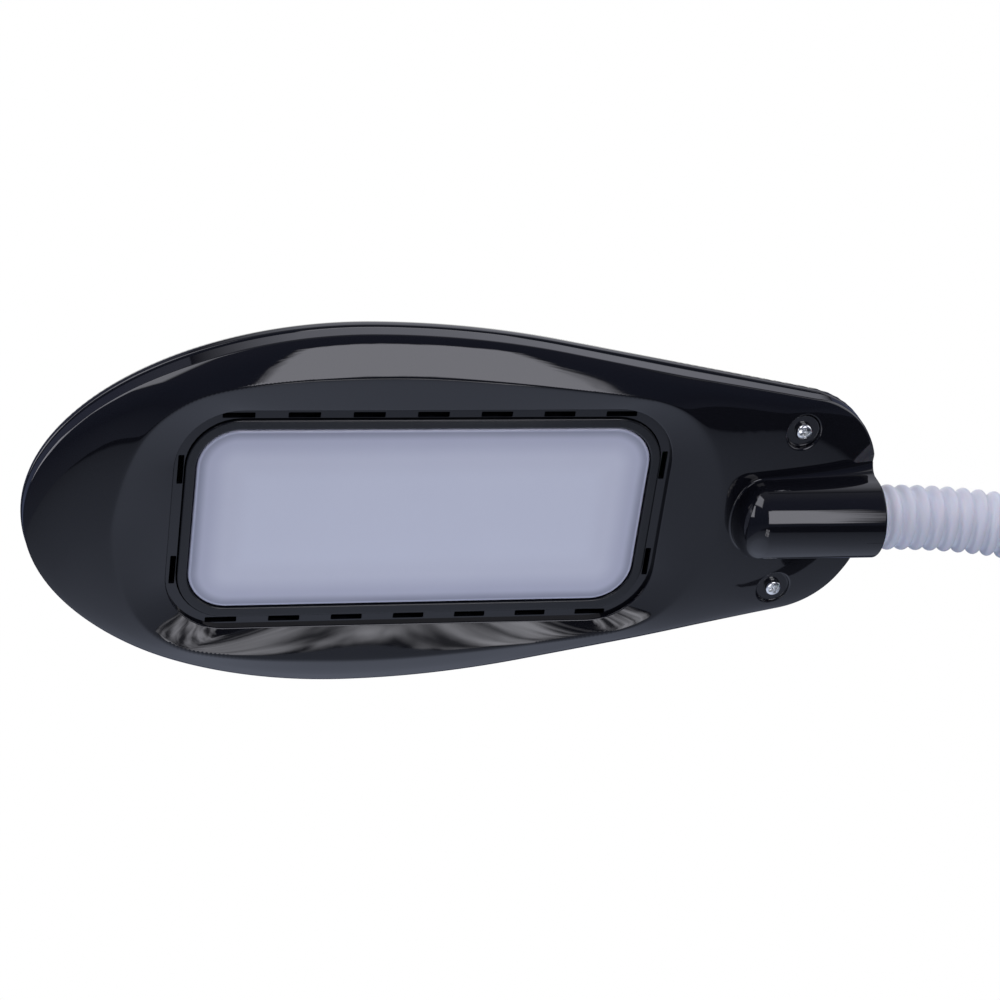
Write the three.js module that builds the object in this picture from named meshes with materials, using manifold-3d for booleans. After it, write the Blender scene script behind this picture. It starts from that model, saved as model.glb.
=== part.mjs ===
// Picture light: a flat LED head on a flexible corrugated neck, fixed by a plate behind a picture frame.
// Millimetres. +Z is up, +Y points at the frame that the plate is screwed to, and the origin is the
// middle of the plate's contact face. The neck rises from the plate and the head hangs off to -X.
import * as THREE from "three";
import { mergeVertices } from "three/addons/utils/BufferGeometryUtils.js";
import Module from "manifold-3d";

const wasm = await Module();
wasm.setup();

// ---------------------------------------------------------------- driving dimensions
const GAP = 0.3; // clearance between pieces that touch on the real lamp

// Head, in its own frame: x along the head towards the neck, y across it, z out of the lit face.
const NOSE_X = -107.5;
const WIDEST_X = -17;
const HALF_WIDTH = 55;
const TAPER_START_X = 36;
const TAPER_SLOPE = 0.2;
const TAIL_X = 131.5;
const TAIL_CORNER_R = 25;
const SIDE_ARC_R = (TAPER_START_X - WIDEST_X) / TAPER_SLOPE;

const LIP_Z = 1.3; // edge of the dished face, where it drops to the vent floor
const RIDGE_Z = { nose: 4, tail: 2.4 };
const EDGE_Z = -3.7; // front edge of the shell's side wall
const PARTING_Z = -7;
const COVER_WALL_Z = -9;
const COVER_DEPTH = 12.5;
const WALL = 2;

// Light panel: half sizes and corner radius of each rounded rectangle, from the outside in.
const LIP = { x: 68.6, y: 33.5, r: 17 };
const VENT = { x: 66.8, y: 31.7, r: 15.2 };
const FRAME_OUT = { x: 65.6, y: 30.5, r: 14 };
const WINDOW = { x: 62.9, y: 27.6, r: 11.5 };
const VENT_PITCH = 17.5;
const VENT_LENGTH = 8.7;
const VENT_WIDTH = 1.6;
const VENTS_LONG_SIDE = 7;
const VENT_END_Y = 15.5;
const VENT_FLOOR = { top: 0, bottom: -1.5 };
const FRAME_BACK_Z = -8.6;

const BOSS = { r: 11.4, z: 3.5, cap: 94.5, capLength: 4.8, end: 130.5 };
const BORE_R = 9.6;
const BORE_FROM = 98;
const SCREW_AT = { x: 106.5, y: 25.4 };
const SCREW_SEAT_Z = -1.5;
const COVER_POST_R = 3.4;
const BUTTON_AT = { x: 84, r: 6 };
const DRIVER = { x: 70, halfX: 22, halfY: 14, top: -9.4, bottom: -11 };

const HEAD_AIM = 30.4; // degrees that the lit face looks below the horizon

// Neck
const SLEEVE_R = 9.25;
const SLEEVE_BORE_R = 7.4;
const CORE_R = 5.6;
const CORE_BORE_R = 3;
const LEAD_R = 2.2;
const NECK_FOOT = new THREE.Vector3(0, -17, 40);
const NECK_HEAD = new THREE.Vector3(-130, 53, 240);
const NECK_PULL = { foot: 165, head: 90 }; // how far the neck keeps its first direction at each end
const NECK_IN_BOSS = 18;
const NECK_IN_SOCKET = 16;
const HINGES_AT = [38, 88, 138, 188, 238]; // along the neck from its foot, in mm
const CORE_HINGE_GAP = 2.4;

// Foot
const PLATE = { halfX: 25, halfZ: 36, thick: 3, corner: 7, holeX: 18.5, holeZ: 28.5, holeR: 2.4 };
const SOCKET = { r: 13, bottom: 4 };
const INLET = { r: 5.6, bore: 2.9, flange: 7.4 };

// ---------------------------------------------------------------- materials
const finish = (color, roughness, metalness = 0) =>
  new THREE.MeshStandardMaterial({ color, roughness, metalness });
const MATERIAL = {
  glossBlack: finish(0x0b0c0f, 0.08),
  satinBlack: finish(0x17181c, 0.4),
  diffuser: finish(0xb4b9d2, 0.3),
  sleeve: finish(0xdde0ec, 0.45),
  clear: finish(0xe8f0f4, 0.1),
  whiteSheet: finish(0xf5f5f5, 0.6),
  aluminium: finish(0xb8babd, 0.4, 1),
  steel: finish(0xc9cccf, 0.25, 1),
  spring: finish(0x8d9094, 0.35, 1),
  board: finish(0x1f5a34, 0.5),
  whiteBoard: finish(0xf0f0ea, 0.5),
  cable: finish(0x202020, 0.6),
  plate: finish(0x1a1b1e, 0.45, 0.6),
};

// ---------------------------------------------------------------- solids
function solid(geometry) {
  const bare = geometry.index ? geometry.toNonIndexed() : geometry.clone();
  bare.deleteAttribute("normal");
  bare.deleteAttribute("uv");
  const merged = mergeVertices(bare, 1e-4);
  return new wasm.Manifold(
    new wasm.Mesh({
      numProp: 3,
      vertProperties: new Float32Array(merged.attributes.position.array),
      triVerts: new Uint32Array(merged.index.array),
    }),
  );
}

const join = (...parts) => parts.reduce((a, b) => a.add(b));
const cut = (body, ...tools) => tools.reduce((a, b) => a.subtract(b), body);

function mesh(name, made, material) {
  const data = made.getMesh();
  const geometry = new THREE.BufferGeometry();
  geometry.setAttribute("position", new THREE.BufferAttribute(new Float32Array(data.vertProperties), 3));
  geometry.setIndex(new THREE.BufferAttribute(new Uint32Array(data.triVerts), 1));
  geometry.computeVertexNormals();
  const out = new THREE.Mesh(geometry, material);
  out.name = name;
  return out;
}

const moved = (geometry, x, y, z) => geometry.translate(x, y, z);

// A box between two corners.
function block(low, high) {
  const [w, d, h] = low.map((v, i) => high[i] - v);
  return solid(moved(new THREE.BoxGeometry(w, d, h), low[0] + w / 2, low[1] + d / 2, low[2] + h / 2));
}

// A cylinder or cone along z, from low to high.
function post(x, y, low, high, r, sides = 20, topR = r) {
  const made = new THREE.CylinderGeometry(topR, r, high - low, sides).rotateX(Math.PI / 2);
  return solid(moved(made, x, y, (low + high) / 2));
}

// A cylinder along x.
function barrel(low, high, y, z, r, sides = 28) {
  const made = new THREE.CylinderGeometry(r, r, high - low, sides).rotateZ(Math.PI / 2);
  return solid(moved(made, (low + high) / 2, y, z));
}

function roundedRectangle({ x, y, r }) {
  const s = new THREE.Shape();
  s.moveTo(x, r - y);
  s.lineTo(x, y - r);
  s.absarc(x - r, y - r, r, 0, Math.PI / 2);
  s.lineTo(r - x, y);
  s.absarc(r - x, y - r, r, Math.PI / 2, Math.PI);
  s.lineTo(-x, r - y);
  s.absarc(r - x, r - y, r, Math.PI, 1.5 * Math.PI);
  s.lineTo(x - r, -y);
  s.absarc(x - r, r - y, r, 1.5 * Math.PI, 2 * Math.PI);
  return s;
}

const grown = ({ x, y, r }, by) => ({ x: x + by, y: y + by, r: r + by });

// A rounded rectangle extruded along z.
function slab(size, low, high, curveSegments = 6) {
  const made = new THREE.ExtrudeGeometry(roundedRectangle(size), {
    depth: high - low,
    bevelEnabled: false,
    curveSegments,
  });
  return solid(moved(made, 0, 0, low));
}

// ---------------------------------------------------------------- the head's outlines
// The leaf-shaped outline for y >= 0, from the nose to the tail.
function leafHalf() {
  const points = [];
  const noseLength = WIDEST_X - NOSE_X;
  for (let i = 0; i <= 40; i++) {
    const a = Math.PI - (i / 40) * (Math.PI / 2);
    points.push([WIDEST_X + noseLength * Math.cos(a), HALF_WIDTH * Math.sin(a)]);
  }
  const taper = (x) => {
    const run = Math.min(x, TAPER_START_X) - WIDEST_X;
    return HALF_WIDTH - run ** 2 / (2 * SIDE_ARC_R) - TAPER_SLOPE * Math.max(0, x - TAPER_START_X);
  };
  const cornerX = TAIL_X - TAIL_CORNER_R;
  const cornerY = taper(cornerX) - TAIL_CORNER_R * Math.hypot(1, TAPER_SLOPE);
  const steep = Math.atan(TAPER_SLOPE);
  const sideEnd = cornerX + TAIL_CORNER_R * Math.sin(steep);
  for (let x = WIDEST_X + 6; x < sideEnd; x += 6) points.push([x, taper(x)]);
  for (let i = 0; i <= 12; i++) {
    const a = (Math.PI / 2 - steep) * (1 - i / 12);
    points.push([cornerX + TAIL_CORNER_R * Math.cos(a), cornerY + TAIL_CORNER_R * Math.sin(a)]);
  }
  points.push([TAIL_X, 0]);
  return points;
}

// The crest around the dished face, for y >= 0, from the nose to the tail.
const RIDGE_HALF = [
  [-84.4, 0],
  [-83.2, 10],
  [-80.9, 19],
  [-77, 27.5],
  [-70.5, 34.6],
  [-61, 39.7],
  [-45, 42.7],
  [-24, 44],
  [-6, 44.1],
  [12, 43],
  [34, 40.8],
  [54, 38.3],
  [64, 36.2],
  [71.5, 32.3],
  [77.5, 25.8],
  [82, 17.5],
  [84.8, 9],
  [85.7, 0],
];

function splineThrough(half) {
  const mirrored = half.slice(1, -1).reverse();
  const closed = [...half.map(([x, y]) => [x, y]), ...mirrored.map(([x, y]) => [x, -y])];
  const curve = new THREE.CatmullRomCurve3(
    closed.map(([x, y]) => new THREE.Vector3(x, y, 0)),
    true,
  );
  return curve.getPoints(240).map((p) => [p.x, p.y]);
}

const mirroredOutline = (half) => [...half, ...half.slice(1, -1).reverse().map(([x, y]) => [x, -y])];

const turn = (x, y) => (Math.atan2(y, x) + 2 * Math.PI) % (2 * Math.PI);

// How far an outline is from the head's origin along each of a list of directions.
function radii(outline, angles) {
  const corners = outline.map(([x, y]) => ({ x, y, at: turn(x, y) })).sort((a, b) => a.at - b.at);
  return angles.map((angle) => {
    const found = corners.findIndex((p) => p.at > angle);
    const b = corners[found < 0 ? 0 : found];
    const a = corners[(found < 1 ? corners.length : found) - 1];
    const [dx, dy] = [b.x - a.x, b.y - a.y];
    return (a.x * dy - a.y * dx) / (Math.cos(angle) * dy - Math.sin(angle) * dx);
  });
}

const rectangleOutline = (size, segments = 5) =>
  roundedRectangle(size)
    .getPoints(segments)
    .map((p) => [p.x, p.y]);

// The directions that the head's rings share, closer together where the outlines turn.
const ANGLES = (() => {
  const corners = rectangleOutline(LIP, 3).map(([x, y]) => turn(x, y));
  const even = Array.from({ length: 32 }, (_, i) => (i / 32) * 2 * Math.PI);
  const tail = [0.12, 0.16, 0.21, 0.26].flatMap((a) => [a, 2 * Math.PI - a]);
  const all = [...corners, ...even, ...tail].sort((a, b) => a - b);
  return all.filter((a, i) => i === 0 || a - all[i - 1] > 0.03);
})();

const LEAF_R = radii(mirroredOutline(leafHalf()), ANGLES);
const RIDGE_R = radii(splineThrough(RIDGE_HALF), ANGLES);
const lipRadii = (by) => radii(rectangleOutline(grown(LIP, by), 12), ANGLES);
const ridgeZ = (x) => THREE.MathUtils.mapLinear(x, NOSE_X, TAIL_X, RIDGE_Z.nose, RIDGE_Z.tail);

// A ring of points: one radius for each direction, and a level that may depend on x.
function ring(radiusList, level) {
  return ANGLES.map((a, i) => {
    const x = radiusList[i] * Math.cos(a);
    const y = radiusList[i] * Math.sin(a);
    return [x, y, typeof level === "function" ? level(x, i) : level];
  });
}

// The closed solid through a stack of rings, flat at both ends, from the lowest ring to the highest.
function loft(rings) {
  const n = rings[0].length;
  const middle = (r) => [0, 0, r.reduce((sum, p) => sum + p[2], 0) / n];
  const points = [...rings.flat(), middle(rings[0]), middle(rings[rings.length - 1])];
  const faces = [];
  for (let k = 0; k + 1 < rings.length; k++) {
    for (let i = 0; i < n; i++) {
      const [a, b] = [k * n + i, k * n + ((i + 1) % n)];
      faces.push(a, b, b + n, a, b + n, a + n);
    }
  }
  const low = rings.length * n;
  const top = (rings.length - 1) * n;
  for (let i = 0; i < n; i++) {
    const next = (i + 1) % n;
    faces.push(low, next, i, low + 1, top + i, top + next);
  }
  const geometry = new THREE.BufferGeometry();
  geometry.setAttribute("position", new THREE.BufferAttribute(new Float32Array(points.flat()), 3));
  geometry.setIndex(faces);
  return solid(geometry);
}

const mix = (a, b, t) => a.map((v, i) => v + (b[i] - v) * t);
const inset = (list, by) => list.map((v) => v - by);

// ---------------------------------------------------------------- front shell
// How far the outer band has dropped from the crest (0) to the shell's edge (1).
const bandDrop = (t) => 0.62 * t + 0.38 * t ** 4;

function frontSkin(shrink, lower, bottom, drops) {
  const leaf = inset(LEAF_R, shrink);
  const ridge = inset(RIDGE_R, shrink * 0.5);
  const rings = [ring(leaf, bottom), ring(leaf, EDGE_Z - 0.9 - lower)];
  for (const t of drops) {
    rings.push(ring(mix(ridge, leaf, t), (x) => ridgeZ(x) - lower - bandDrop(t) * (ridgeZ(x) - EDGE_Z)));
  }
  rings.push(ring(ridge, (x) => ridgeZ(x) - lower));
  return rings;
}

// The neck boss: round on the lit side, straight-sided down to the parting plane, with a blunt domed cap.
function bossOuter() {
  const round = barrel(BOSS.cap, BOSS.end, 0, BOSS.z, BOSS.r, 28);
  const ball = new THREE.SphereGeometry(BOSS.r, 28, 14).rotateX(Math.PI / 2);
  ball.scale(BOSS.capLength / BOSS.r, 1, 1);
  const skirt = block([BOSS.cap, -BOSS.r, PARTING_Z], [BOSS.end, BOSS.r, BOSS.z]);
  const wide = 2 * BOSS.r;
  const above = block([BOSS.cap - wide, -wide, PARTING_Z], [BOSS.end, wide, wide]);
  return join(round, solid(moved(ball, BOSS.cap, 0, BOSS.z)), skirt).intersect(above);
}

// Vent slots around the light panel: seven along each long side and two at each end.
function ventCutters() {
  const cutters = [];
  const through = { low: VENT_FLOOR.bottom - 1, high: VENT_FLOOR.top + 1 };
  for (const side of [-1, 1]) {
    for (let i = 0; i < VENTS_LONG_SIDE; i++) {
      const x = (i - (VENTS_LONG_SIDE - 1) / 2) * VENT_PITCH;
      const y = side * VENT.y;
      cutters.push(
        block(
          [x - VENT_LENGTH / 2, y - VENT_WIDTH / 2, through.low],
          [x + VENT_LENGTH / 2, y + VENT_WIDTH / 2, through.high],
        ),
      );
    }
    for (const end of [-1, 1]) {
      const x = end * VENT.x;
      const y = side * VENT_END_Y;
      cutters.push(
        block(
          [x - VENT_WIDTH / 2, y - VENT_LENGTH / 2, through.low],
          [x + VENT_WIDTH / 2, y + VENT_LENGTH / 2, through.high],
        ),
      );
    }
  }
  return cutters;
}

const FRAME_EAR = { x: 63.8, y: 28.7, r: 3.6, top: -3.4, bottom: -5.2 };
const CLAMP = { low: 106.4, high: 112, halfY: 17.5, screwY: 14, top: -4.5, bottom: -6.1 };
const ears = [-1, 1].flatMap((i) => [-1, 1].map((j) => [i * FRAME_EAR.x, j * FRAME_EAR.y]));
const mainScrews = [-1, 1].map((j) => [SCREW_AT.x, j * SCREW_AT.y]);
const boardScrews = [-1, 1].map((j) => [DRIVER.x + DRIVER.halfX - 3, j * (DRIVER.halfY - 3)]);
const clampScrews = [-1, 1].map((j) => [(CLAMP.low + CLAMP.high) / 2, j * CLAMP.screwY]);

function frontShell() {
  const outer = loft([...frontSkin(0, 0, PARTING_Z, [0.9, 0.65, 0.3]), ring(lipRadii(-0.8), LIP_Z - 0.1)]);
  const innerSkin = frontSkin(WALL, WALL, PARTING_Z - 1, [0.5]);
  const hollow = loft([...innerSkin, ring(lipRadii(1.4), VENT_FLOOR.bottom)]);
  const dish = slab(LIP, VENT_FLOOR.top, 10);
  const window = slab(grown(FRAME_OUT, GAP), -5, 10);
  const inner = cut(hollow, block([BORE_FROM - 9, -BOSS.r, -20], [BOSS.end, BOSS.r, 20]));
  const [hollowFrom, halfHollow] = [BORE_FROM - 4, BOSS.r - WALL];
  const bossHollow = join(
    block([hollowFrom, -halfHollow, PARTING_Z - 1], [CLAMP.high + 1, halfHollow, BOSS.z]),
    block([hollowFrom - 6, -halfHollow, PARTING_Z - 1], [CLAMP.high, halfHollow, 0]),
  );
  const posts = [
    ...ears.map(([x, y]) => post(x, y, FRAME_EAR.top + GAP, VENT_FLOOR.bottom + 0.5, 3, 12)),
    ...clampScrews.map(([x, y]) => post(x, y, CLAMP.top + GAP, 0, 3, 12)),
  ];
  const seats = mainScrews.map(([x, y]) => post(x, y, SCREW_SEAT_Z, 12, 4.9, 24));
  const postRoom = mainScrews.map(([x, y]) => post(x, y, -12, SCREW_SEAT_Z - WALL, COVER_POST_R + GAP, 14));
  const seatCups = mainScrews.map(([x, y]) => post(x, y, SCREW_SEAT_Z - WALL, 0.6, 6.4, 24));
  const holes = [
    ...mainScrews.map(([x, y]) => post(x, y, -12, 2, 1.6, 12)),
    ...ears.map(([x, y]) => post(x, y, -12, -2.1, 1.3, 10)),
    ...clampScrews.map(([x, y]) => post(x, y, -12, -1, 1.3, 10)),
  ];
  const body = join(cut(outer, inner), bossOuter(), ...posts, ...seatCups);
  const bore = barrel(BORE_FROM, BOSS.end + 1, 0, BOSS.z, BORE_R, 28);
  const clampSlot = block(
    [CLAMP.low - GAP, -CLAMP.halfY - GAP, PARTING_Z - 1],
    [CLAMP.high + GAP, CLAMP.halfY + GAP, CLAMP.top + GAP],
  );
  const openings = [dish, window, bore, bossHollow, clampSlot];
  return cut(body, ...openings, ...postRoom, ...seats, ...holes, ...ventCutters());
}

// ---------------------------------------------------------------- rear cover
const domeDrop = (s, depth) => depth * (1 - s ** 2.6) ** (1 / 2.6);

// The domed skin, from its middle out to its rim, through rings at the given scales of the outline.
function coverSkin(shrink, depth, top, wallZ, scales) {
  const leaf = inset(LEAF_R, shrink);
  const centre = leaf.map(() => 0);
  const rings = scales.map((s) => ring(mix(centre, leaf, s), wallZ - domeDrop(s, depth)));
  return [...rings, ring(leaf, top)];
}

function rearCover() {
  const rim = PARTING_Z - GAP;
  const outer = loft(coverSkin(0.4, COVER_DEPTH, rim, COVER_WALL_Z, [0.3, 0.55, 0.75, 0.88, 0.96, 1]));
  const hollow = loft(coverSkin(0.4 + WALL, COVER_DEPTH - WALL, rim + 1, COVER_WALL_Z, [0.4, 0.7, 0.88, 1]));
  const screwPosts = mainScrews.map(([x, y]) => post(x, y, -16, SCREW_SEAT_Z - WALL - GAP, COVER_POST_R, 14));
  const pilots = [
    ...mainScrews.map(([x, y]) => post(x, y, -14.4, 0, 1.6, 12)),
    ...boardScrews.map(([x, y]) => post(x, y, -16, 0, 1.2, 8)),
  ];
  const [postX, postY] = [DRIVER.halfX - 3, DRIVER.halfY - 3];
  const boardPosts = [-1, 1].flatMap((i) =>
    [-1, 1].map((j) => post(DRIVER.x + i * postX, j * postY, -20.2, DRIVER.bottom - GAP, 2, 10)),
  );
  const buttonHole = post(BUTTON_AT.x, 0, -30, -12, BUTTON_AT.r + GAP, 24);
  const body = join(cut(outer, hollow), ...screwPosts, ...boardPosts.map((p) => p.intersect(outer)));
  return cut(body, ...pilots, buttonHole);
}

// ---------------------------------------------------------------- light panel
function panelFrame() {
  const lip = cut(slab(FRAME_OUT, -1, 0.8, 5), slab(WINDOW, -3, 3, 5));
  const clear = slab(grown(WINDOW, 1.4), FRAME_BACK_Z - 1, 1, 5);
  const wall = cut(slab(FRAME_OUT, FRAME_BACK_Z, -0.9, 5), clear);
  const tabs = ears.map(([x, y]) => post(x, y, FRAME_EAR.bottom, FRAME_EAR.top, FRAME_EAR.r, 10));
  const holes = ears.map(([x, y]) => post(x, y, -12, 2, 1.4, 8));
  return join(lip, cut(join(wall, cut(join(...tabs), clear)), ...holes));
}

const diffuser = () => join(slab(grown(WINDOW, -GAP), -1.6, 0.45), slab(grown(WINDOW, 1), -2.4, -1.3));

const GUIDE = { x: 61.5, y: 25.4, low: -5.9, high: -2.8 };
const lightGuide = () =>
  block([-GUIDE.x, -GUIDE.y, GUIDE.low], [GUIDE.x, GUIDE.y, GUIDE.high]).intersect(
    slab(grown(WINDOW, 0.8), -9, 0),
  );
const WIRE_X = 55;
const wireNotches = () =>
  [-1, 1].map((j) => block([WIRE_X - 2, j * 27 - 2.5, -12], [WIRE_X + 2, j * 27 + 2.5, 0]));
const reflectorSheet = () => cut(slab(grown(WINDOW, 0.6), -6.6, -6.2, 3), ...wireNotches());
const backPlate = () => cut(slab(grown(WINDOW, 0.9), -8.4, -6.9, 4), ...wireNotches());

const LEDS_PER_STRIP = 12;
const LED_PITCH = 8;
function ledStrip(side) {
  const strip = block([-50, side > 0 ? 27.2 : -28.2, -5.8], [50, side > 0 ? 28.2 : -27.2, -2.9]);
  const leds = Array.from({ length: LEDS_PER_STRIP }, (_, i) => {
    const x = (i - (LEDS_PER_STRIP - 1) / 2) * LED_PITCH;
    return block([x - 1.4, side > 0 ? 26.5 : -27.3, -5], [x + 1.4, side > 0 ? 27.3 : -26.5, -3.6]);
  });
  return join(strip, ...leds);
}

// ---------------------------------------------------------------- driver, button and wiring
function driverBoard() {
  const { x, halfX, halfY, top, bottom } = DRIVER;
  const board = block([x - halfX, -halfY, bottom], [x + halfX, halfY, top]);
  const inductor = post(x - 12, -5, bottom - 4.5, bottom + 0.4, 4, 20);
  const capacitor = post(x - 12, 7, bottom - 5.5, bottom + 0.4, 3.2, 20);
  const chip = block([x - 4, -3, bottom - 1.6], [x + 2, 3, bottom + 0.4]);
  const socket = block([x + 15, -4, top - 0.4], [x + 19, 4, top + 3]);
  const tactSwitch = join(
    block([BUTTON_AT.x - 3, -3, bottom - 2.6], [BUTTON_AT.x + 3, 3, bottom + 0.4]),
    post(BUTTON_AT.x, 0, bottom - 3.4, bottom, 1.7, 14),
  );
  const holes = boardScrews.map(([x, y]) => post(x, y, bottom - 1, top + 1, 1.2, 8));
  return cut(join(board, inductor, capacitor, chip, socket, tactSwitch), ...holes);
}

const BUTTON = { face: -21, flangeLow: -16.8, flangeHigh: -15.8, tip: -15 };
function powerButton() {
  const cap = post(BUTTON_AT.x, 0, BUTTON.face, BUTTON.flangeHigh, BUTTON_AT.r, 24);
  const flange = post(BUTTON_AT.x, 0, BUTTON.flangeLow, BUTTON.flangeHigh, BUTTON_AT.r + 1.2, 24);
  const stem = post(BUTTON_AT.x, 0, BUTTON.flangeHigh - 0.5, BUTTON.tip, 1.6, 14);
  return join(cap, flange, stem);
}

// A wire or tube along a curve.
function tube(curve, radius, { steps = 20, sides = 8, bore = 0 } = {}) {
  const circle = (r) => {
    const points = Array.from({ length: sides }, (_, i) => {
      const a = (i / sides) * 2 * Math.PI;
      return new THREE.Vector2(r * Math.cos(a), r * Math.sin(a));
    });
    return points;
  };
  const shape = new THREE.Shape(circle(radius));
  if (bore) shape.holes.push(new THREE.Path(circle(bore).reverse()));
  const options = { steps, extrudePath: curve, bevelEnabled: false, curveSegments: 1 };
  return solid(new THREE.ExtrudeGeometry(shape, options));
}

const smooth = (...points) => new THREE.CatmullRomCurve3(points.map((p) => new THREE.Vector3(...p)));

// The pair of wires from the driver board to one LED strip, through the notch in the back plate.
const ledWire = (side) =>
  tube(
    smooth(
      [50.3, side * 27.7, -4.4],
      [53.5, side * 27.6, -4.6],
      [WIRE_X, side * 27, -7.5],
      [WIRE_X, side * 24.5, -10],
      [WIRE_X, side * 19, -10.4],
      [WIRE_X, side * (DRIVER.halfY + GAP), -10.4],
    ),
    0.6,
    { steps: 12, sides: 8 },
  );

// The lead from the neck down to the socket on the driver board.
const headLead = () =>
  tube(
    smooth(
      [112.2, 0, BOSS.z],
      [105, 0, BOSS.z],
      [100.5, 0, 1.8],
      [96.5, 0, -3.2],
      [93, 0, -6.4],
      [89.3, 0, -6.9],
    ),
    LEAD_R * 0.85,
    { steps: 12, sides: 8 },
  );

// ---------------------------------------------------------------- fasteners
function crossScrew(x, y, seat, length, shaftR, headR, headH) {
  const head = post(x, y, seat, seat + headH, headR, 16, headR * 0.8);
  const shaft = post(x, y, seat - length, seat + 0.2, shaftR, 8);
  const depth = headH * 0.6;
  const arm = headR * 0.55;
  const slot = headR * 0.12;
  const top = seat + headH;
  return cut(
    join(head, shaft),
    block([x - arm, y - slot, top - depth], [x + arm, y + slot, top + 1]),
    block([x - slot, y - arm, top - depth], [x + slot, y + arm, top + 1]),
  );
}

// The same screw put in from behind, with its head towards -z.
function crossScrewFromBehind(x, y, seat, length, shaftR, headR, headH) {
  return crossScrew(x, -y, -seat, length, shaftR, headR, headH).rotate([180, 0, 0]);
}

// ---------------------------------------------------------------- neck clamp and upper ferrule
function neckClamp() {
  const bar = block([CLAMP.low, -CLAMP.halfY, CLAMP.bottom], [CLAMP.high, CLAMP.halfY, CLAMP.top]);
  return cut(bar, ...clampScrews.map(([x, y]) => post(x, y, -12, 2, 1.5, 12)));
}

function ferrule(low, high, r) {
  const middle = (low + high) / 2;
  const body = join(barrel(low, high, 0, BOSS.z, r, 24), barrel(low, low + 2, 0, BOSS.z, r + 0.7, 24));
  return cut(body, barrel(middle - 40, middle + 40, 0, BOSS.z, CORE_R + GAP, 20));
}

// ---------------------------------------------------------------- neck
const neckCurve = new THREE.CubicBezierCurve3(
  NECK_FOOT,
  NECK_FOOT.clone().add(new THREE.Vector3(0, 0, NECK_PULL.foot)),
  NECK_HEAD.clone().add(new THREE.Vector3(NECK_PULL.head, 0, 0)),
  NECK_HEAD,
);
neckCurve.arcLengthDivisions = 800;
const NECK_LENGTH = neckCurve.getLength();

// The whole neck: straight in the socket, curved in the open and straight again in the boss.
class NeckStretch extends THREE.Curve {
  constructor(from, to) {
    super();
    this.from = from;
    this.to = to;
  }
  getPoint(t, target = new THREE.Vector3()) {
    const s = this.from + (this.to - this.from) * t;
    if (s < 0) return target.set(NECK_FOOT.x, NECK_FOOT.y, NECK_FOOT.z + s);
    if (s > NECK_LENGTH) return target.set(NECK_HEAD.x - (s - NECK_LENGTH), NECK_HEAD.y, NECK_HEAD.z);
    return target.copy(neckCurve.getPointAt(s / NECK_LENGTH));
  }
}

const NECK_FROM = -NECK_IN_SOCKET;
const NECK_TO = NECK_LENGTH + NECK_IN_BOSS;
const sleeveSplits = [
  NECK_FROM,
  ...HINGES_AT.slice(1).map((s, i) => (s + HINGES_AT[i]) / 2),
  NECK_TO,
];

function neckPieces() {
  const pieces = [];
  HINGES_AT.forEach((_, i) => {
    const stretch = new NeckStretch(sleeveSplits[i] + (i ? GAP : 0), sleeveSplits[i + 1]);
    const steps = Math.ceil((stretch.to - stretch.from) / 10);
    const sleeve = tube(stretch, SLEEVE_R, { steps, sides: 14, bore: SLEEVE_BORE_R });
    const lead = tube(stretch, LEAD_R, { steps, sides: 8 });
    pieces.push(mesh(`neck_sleeve_${i + 1}`, sleeve, MATERIAL.sleeve));
    pieces.push(mesh(`neck_lead_${i + 1}`, lead, MATERIAL.cable));
  });
  const ends = [NECK_FROM - 4, ...HINGES_AT, NECK_TO + 9];
  for (let i = 0; i + 1 < ends.length; i++) {
    const from = ends[i] + (i ? CORE_HINGE_GAP : 0);
    const to = ends[i + 1] - (i + 2 < ends.length ? CORE_HINGE_GAP : 0);
    const steps = Math.ceil((to - from) / 12);
    const core = tube(new NeckStretch(from, to), CORE_R, { steps, sides: 10, bore: CORE_BORE_R });
    pieces.push(mesh(`neck_core_${i + 1}`, core, MATERIAL.spring));
  }
  return pieces;
}

// ---------------------------------------------------------------- foot
const SOCKET_TOP = NECK_FOOT.z;
function mountPlate() {
  const outline = roundedRectangle({ x: PLATE.halfX, y: PLATE.halfZ, r: PLATE.corner });
  const options = { depth: PLATE.thick, bevelEnabled: false, curveSegments: 5 };
  const body = solid(new THREE.ExtrudeGeometry(outline, options).rotateX(Math.PI / 2));
  const hole = (x, z, r) =>
    solid(moved(new THREE.CylinderGeometry(r, r, 20, 20), x, -PLATE.thick / 2, z));
  const fixings = [-1, 1].flatMap((i) =>
    [-1, 1].map((j) => hole(i * PLATE.holeX, j * PLATE.holeZ, PLATE.holeR)),
  );
  return cut(body, ...fixings, ...socketScrewsZ.map((z) => hole(0, z, 2)));
}

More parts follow.
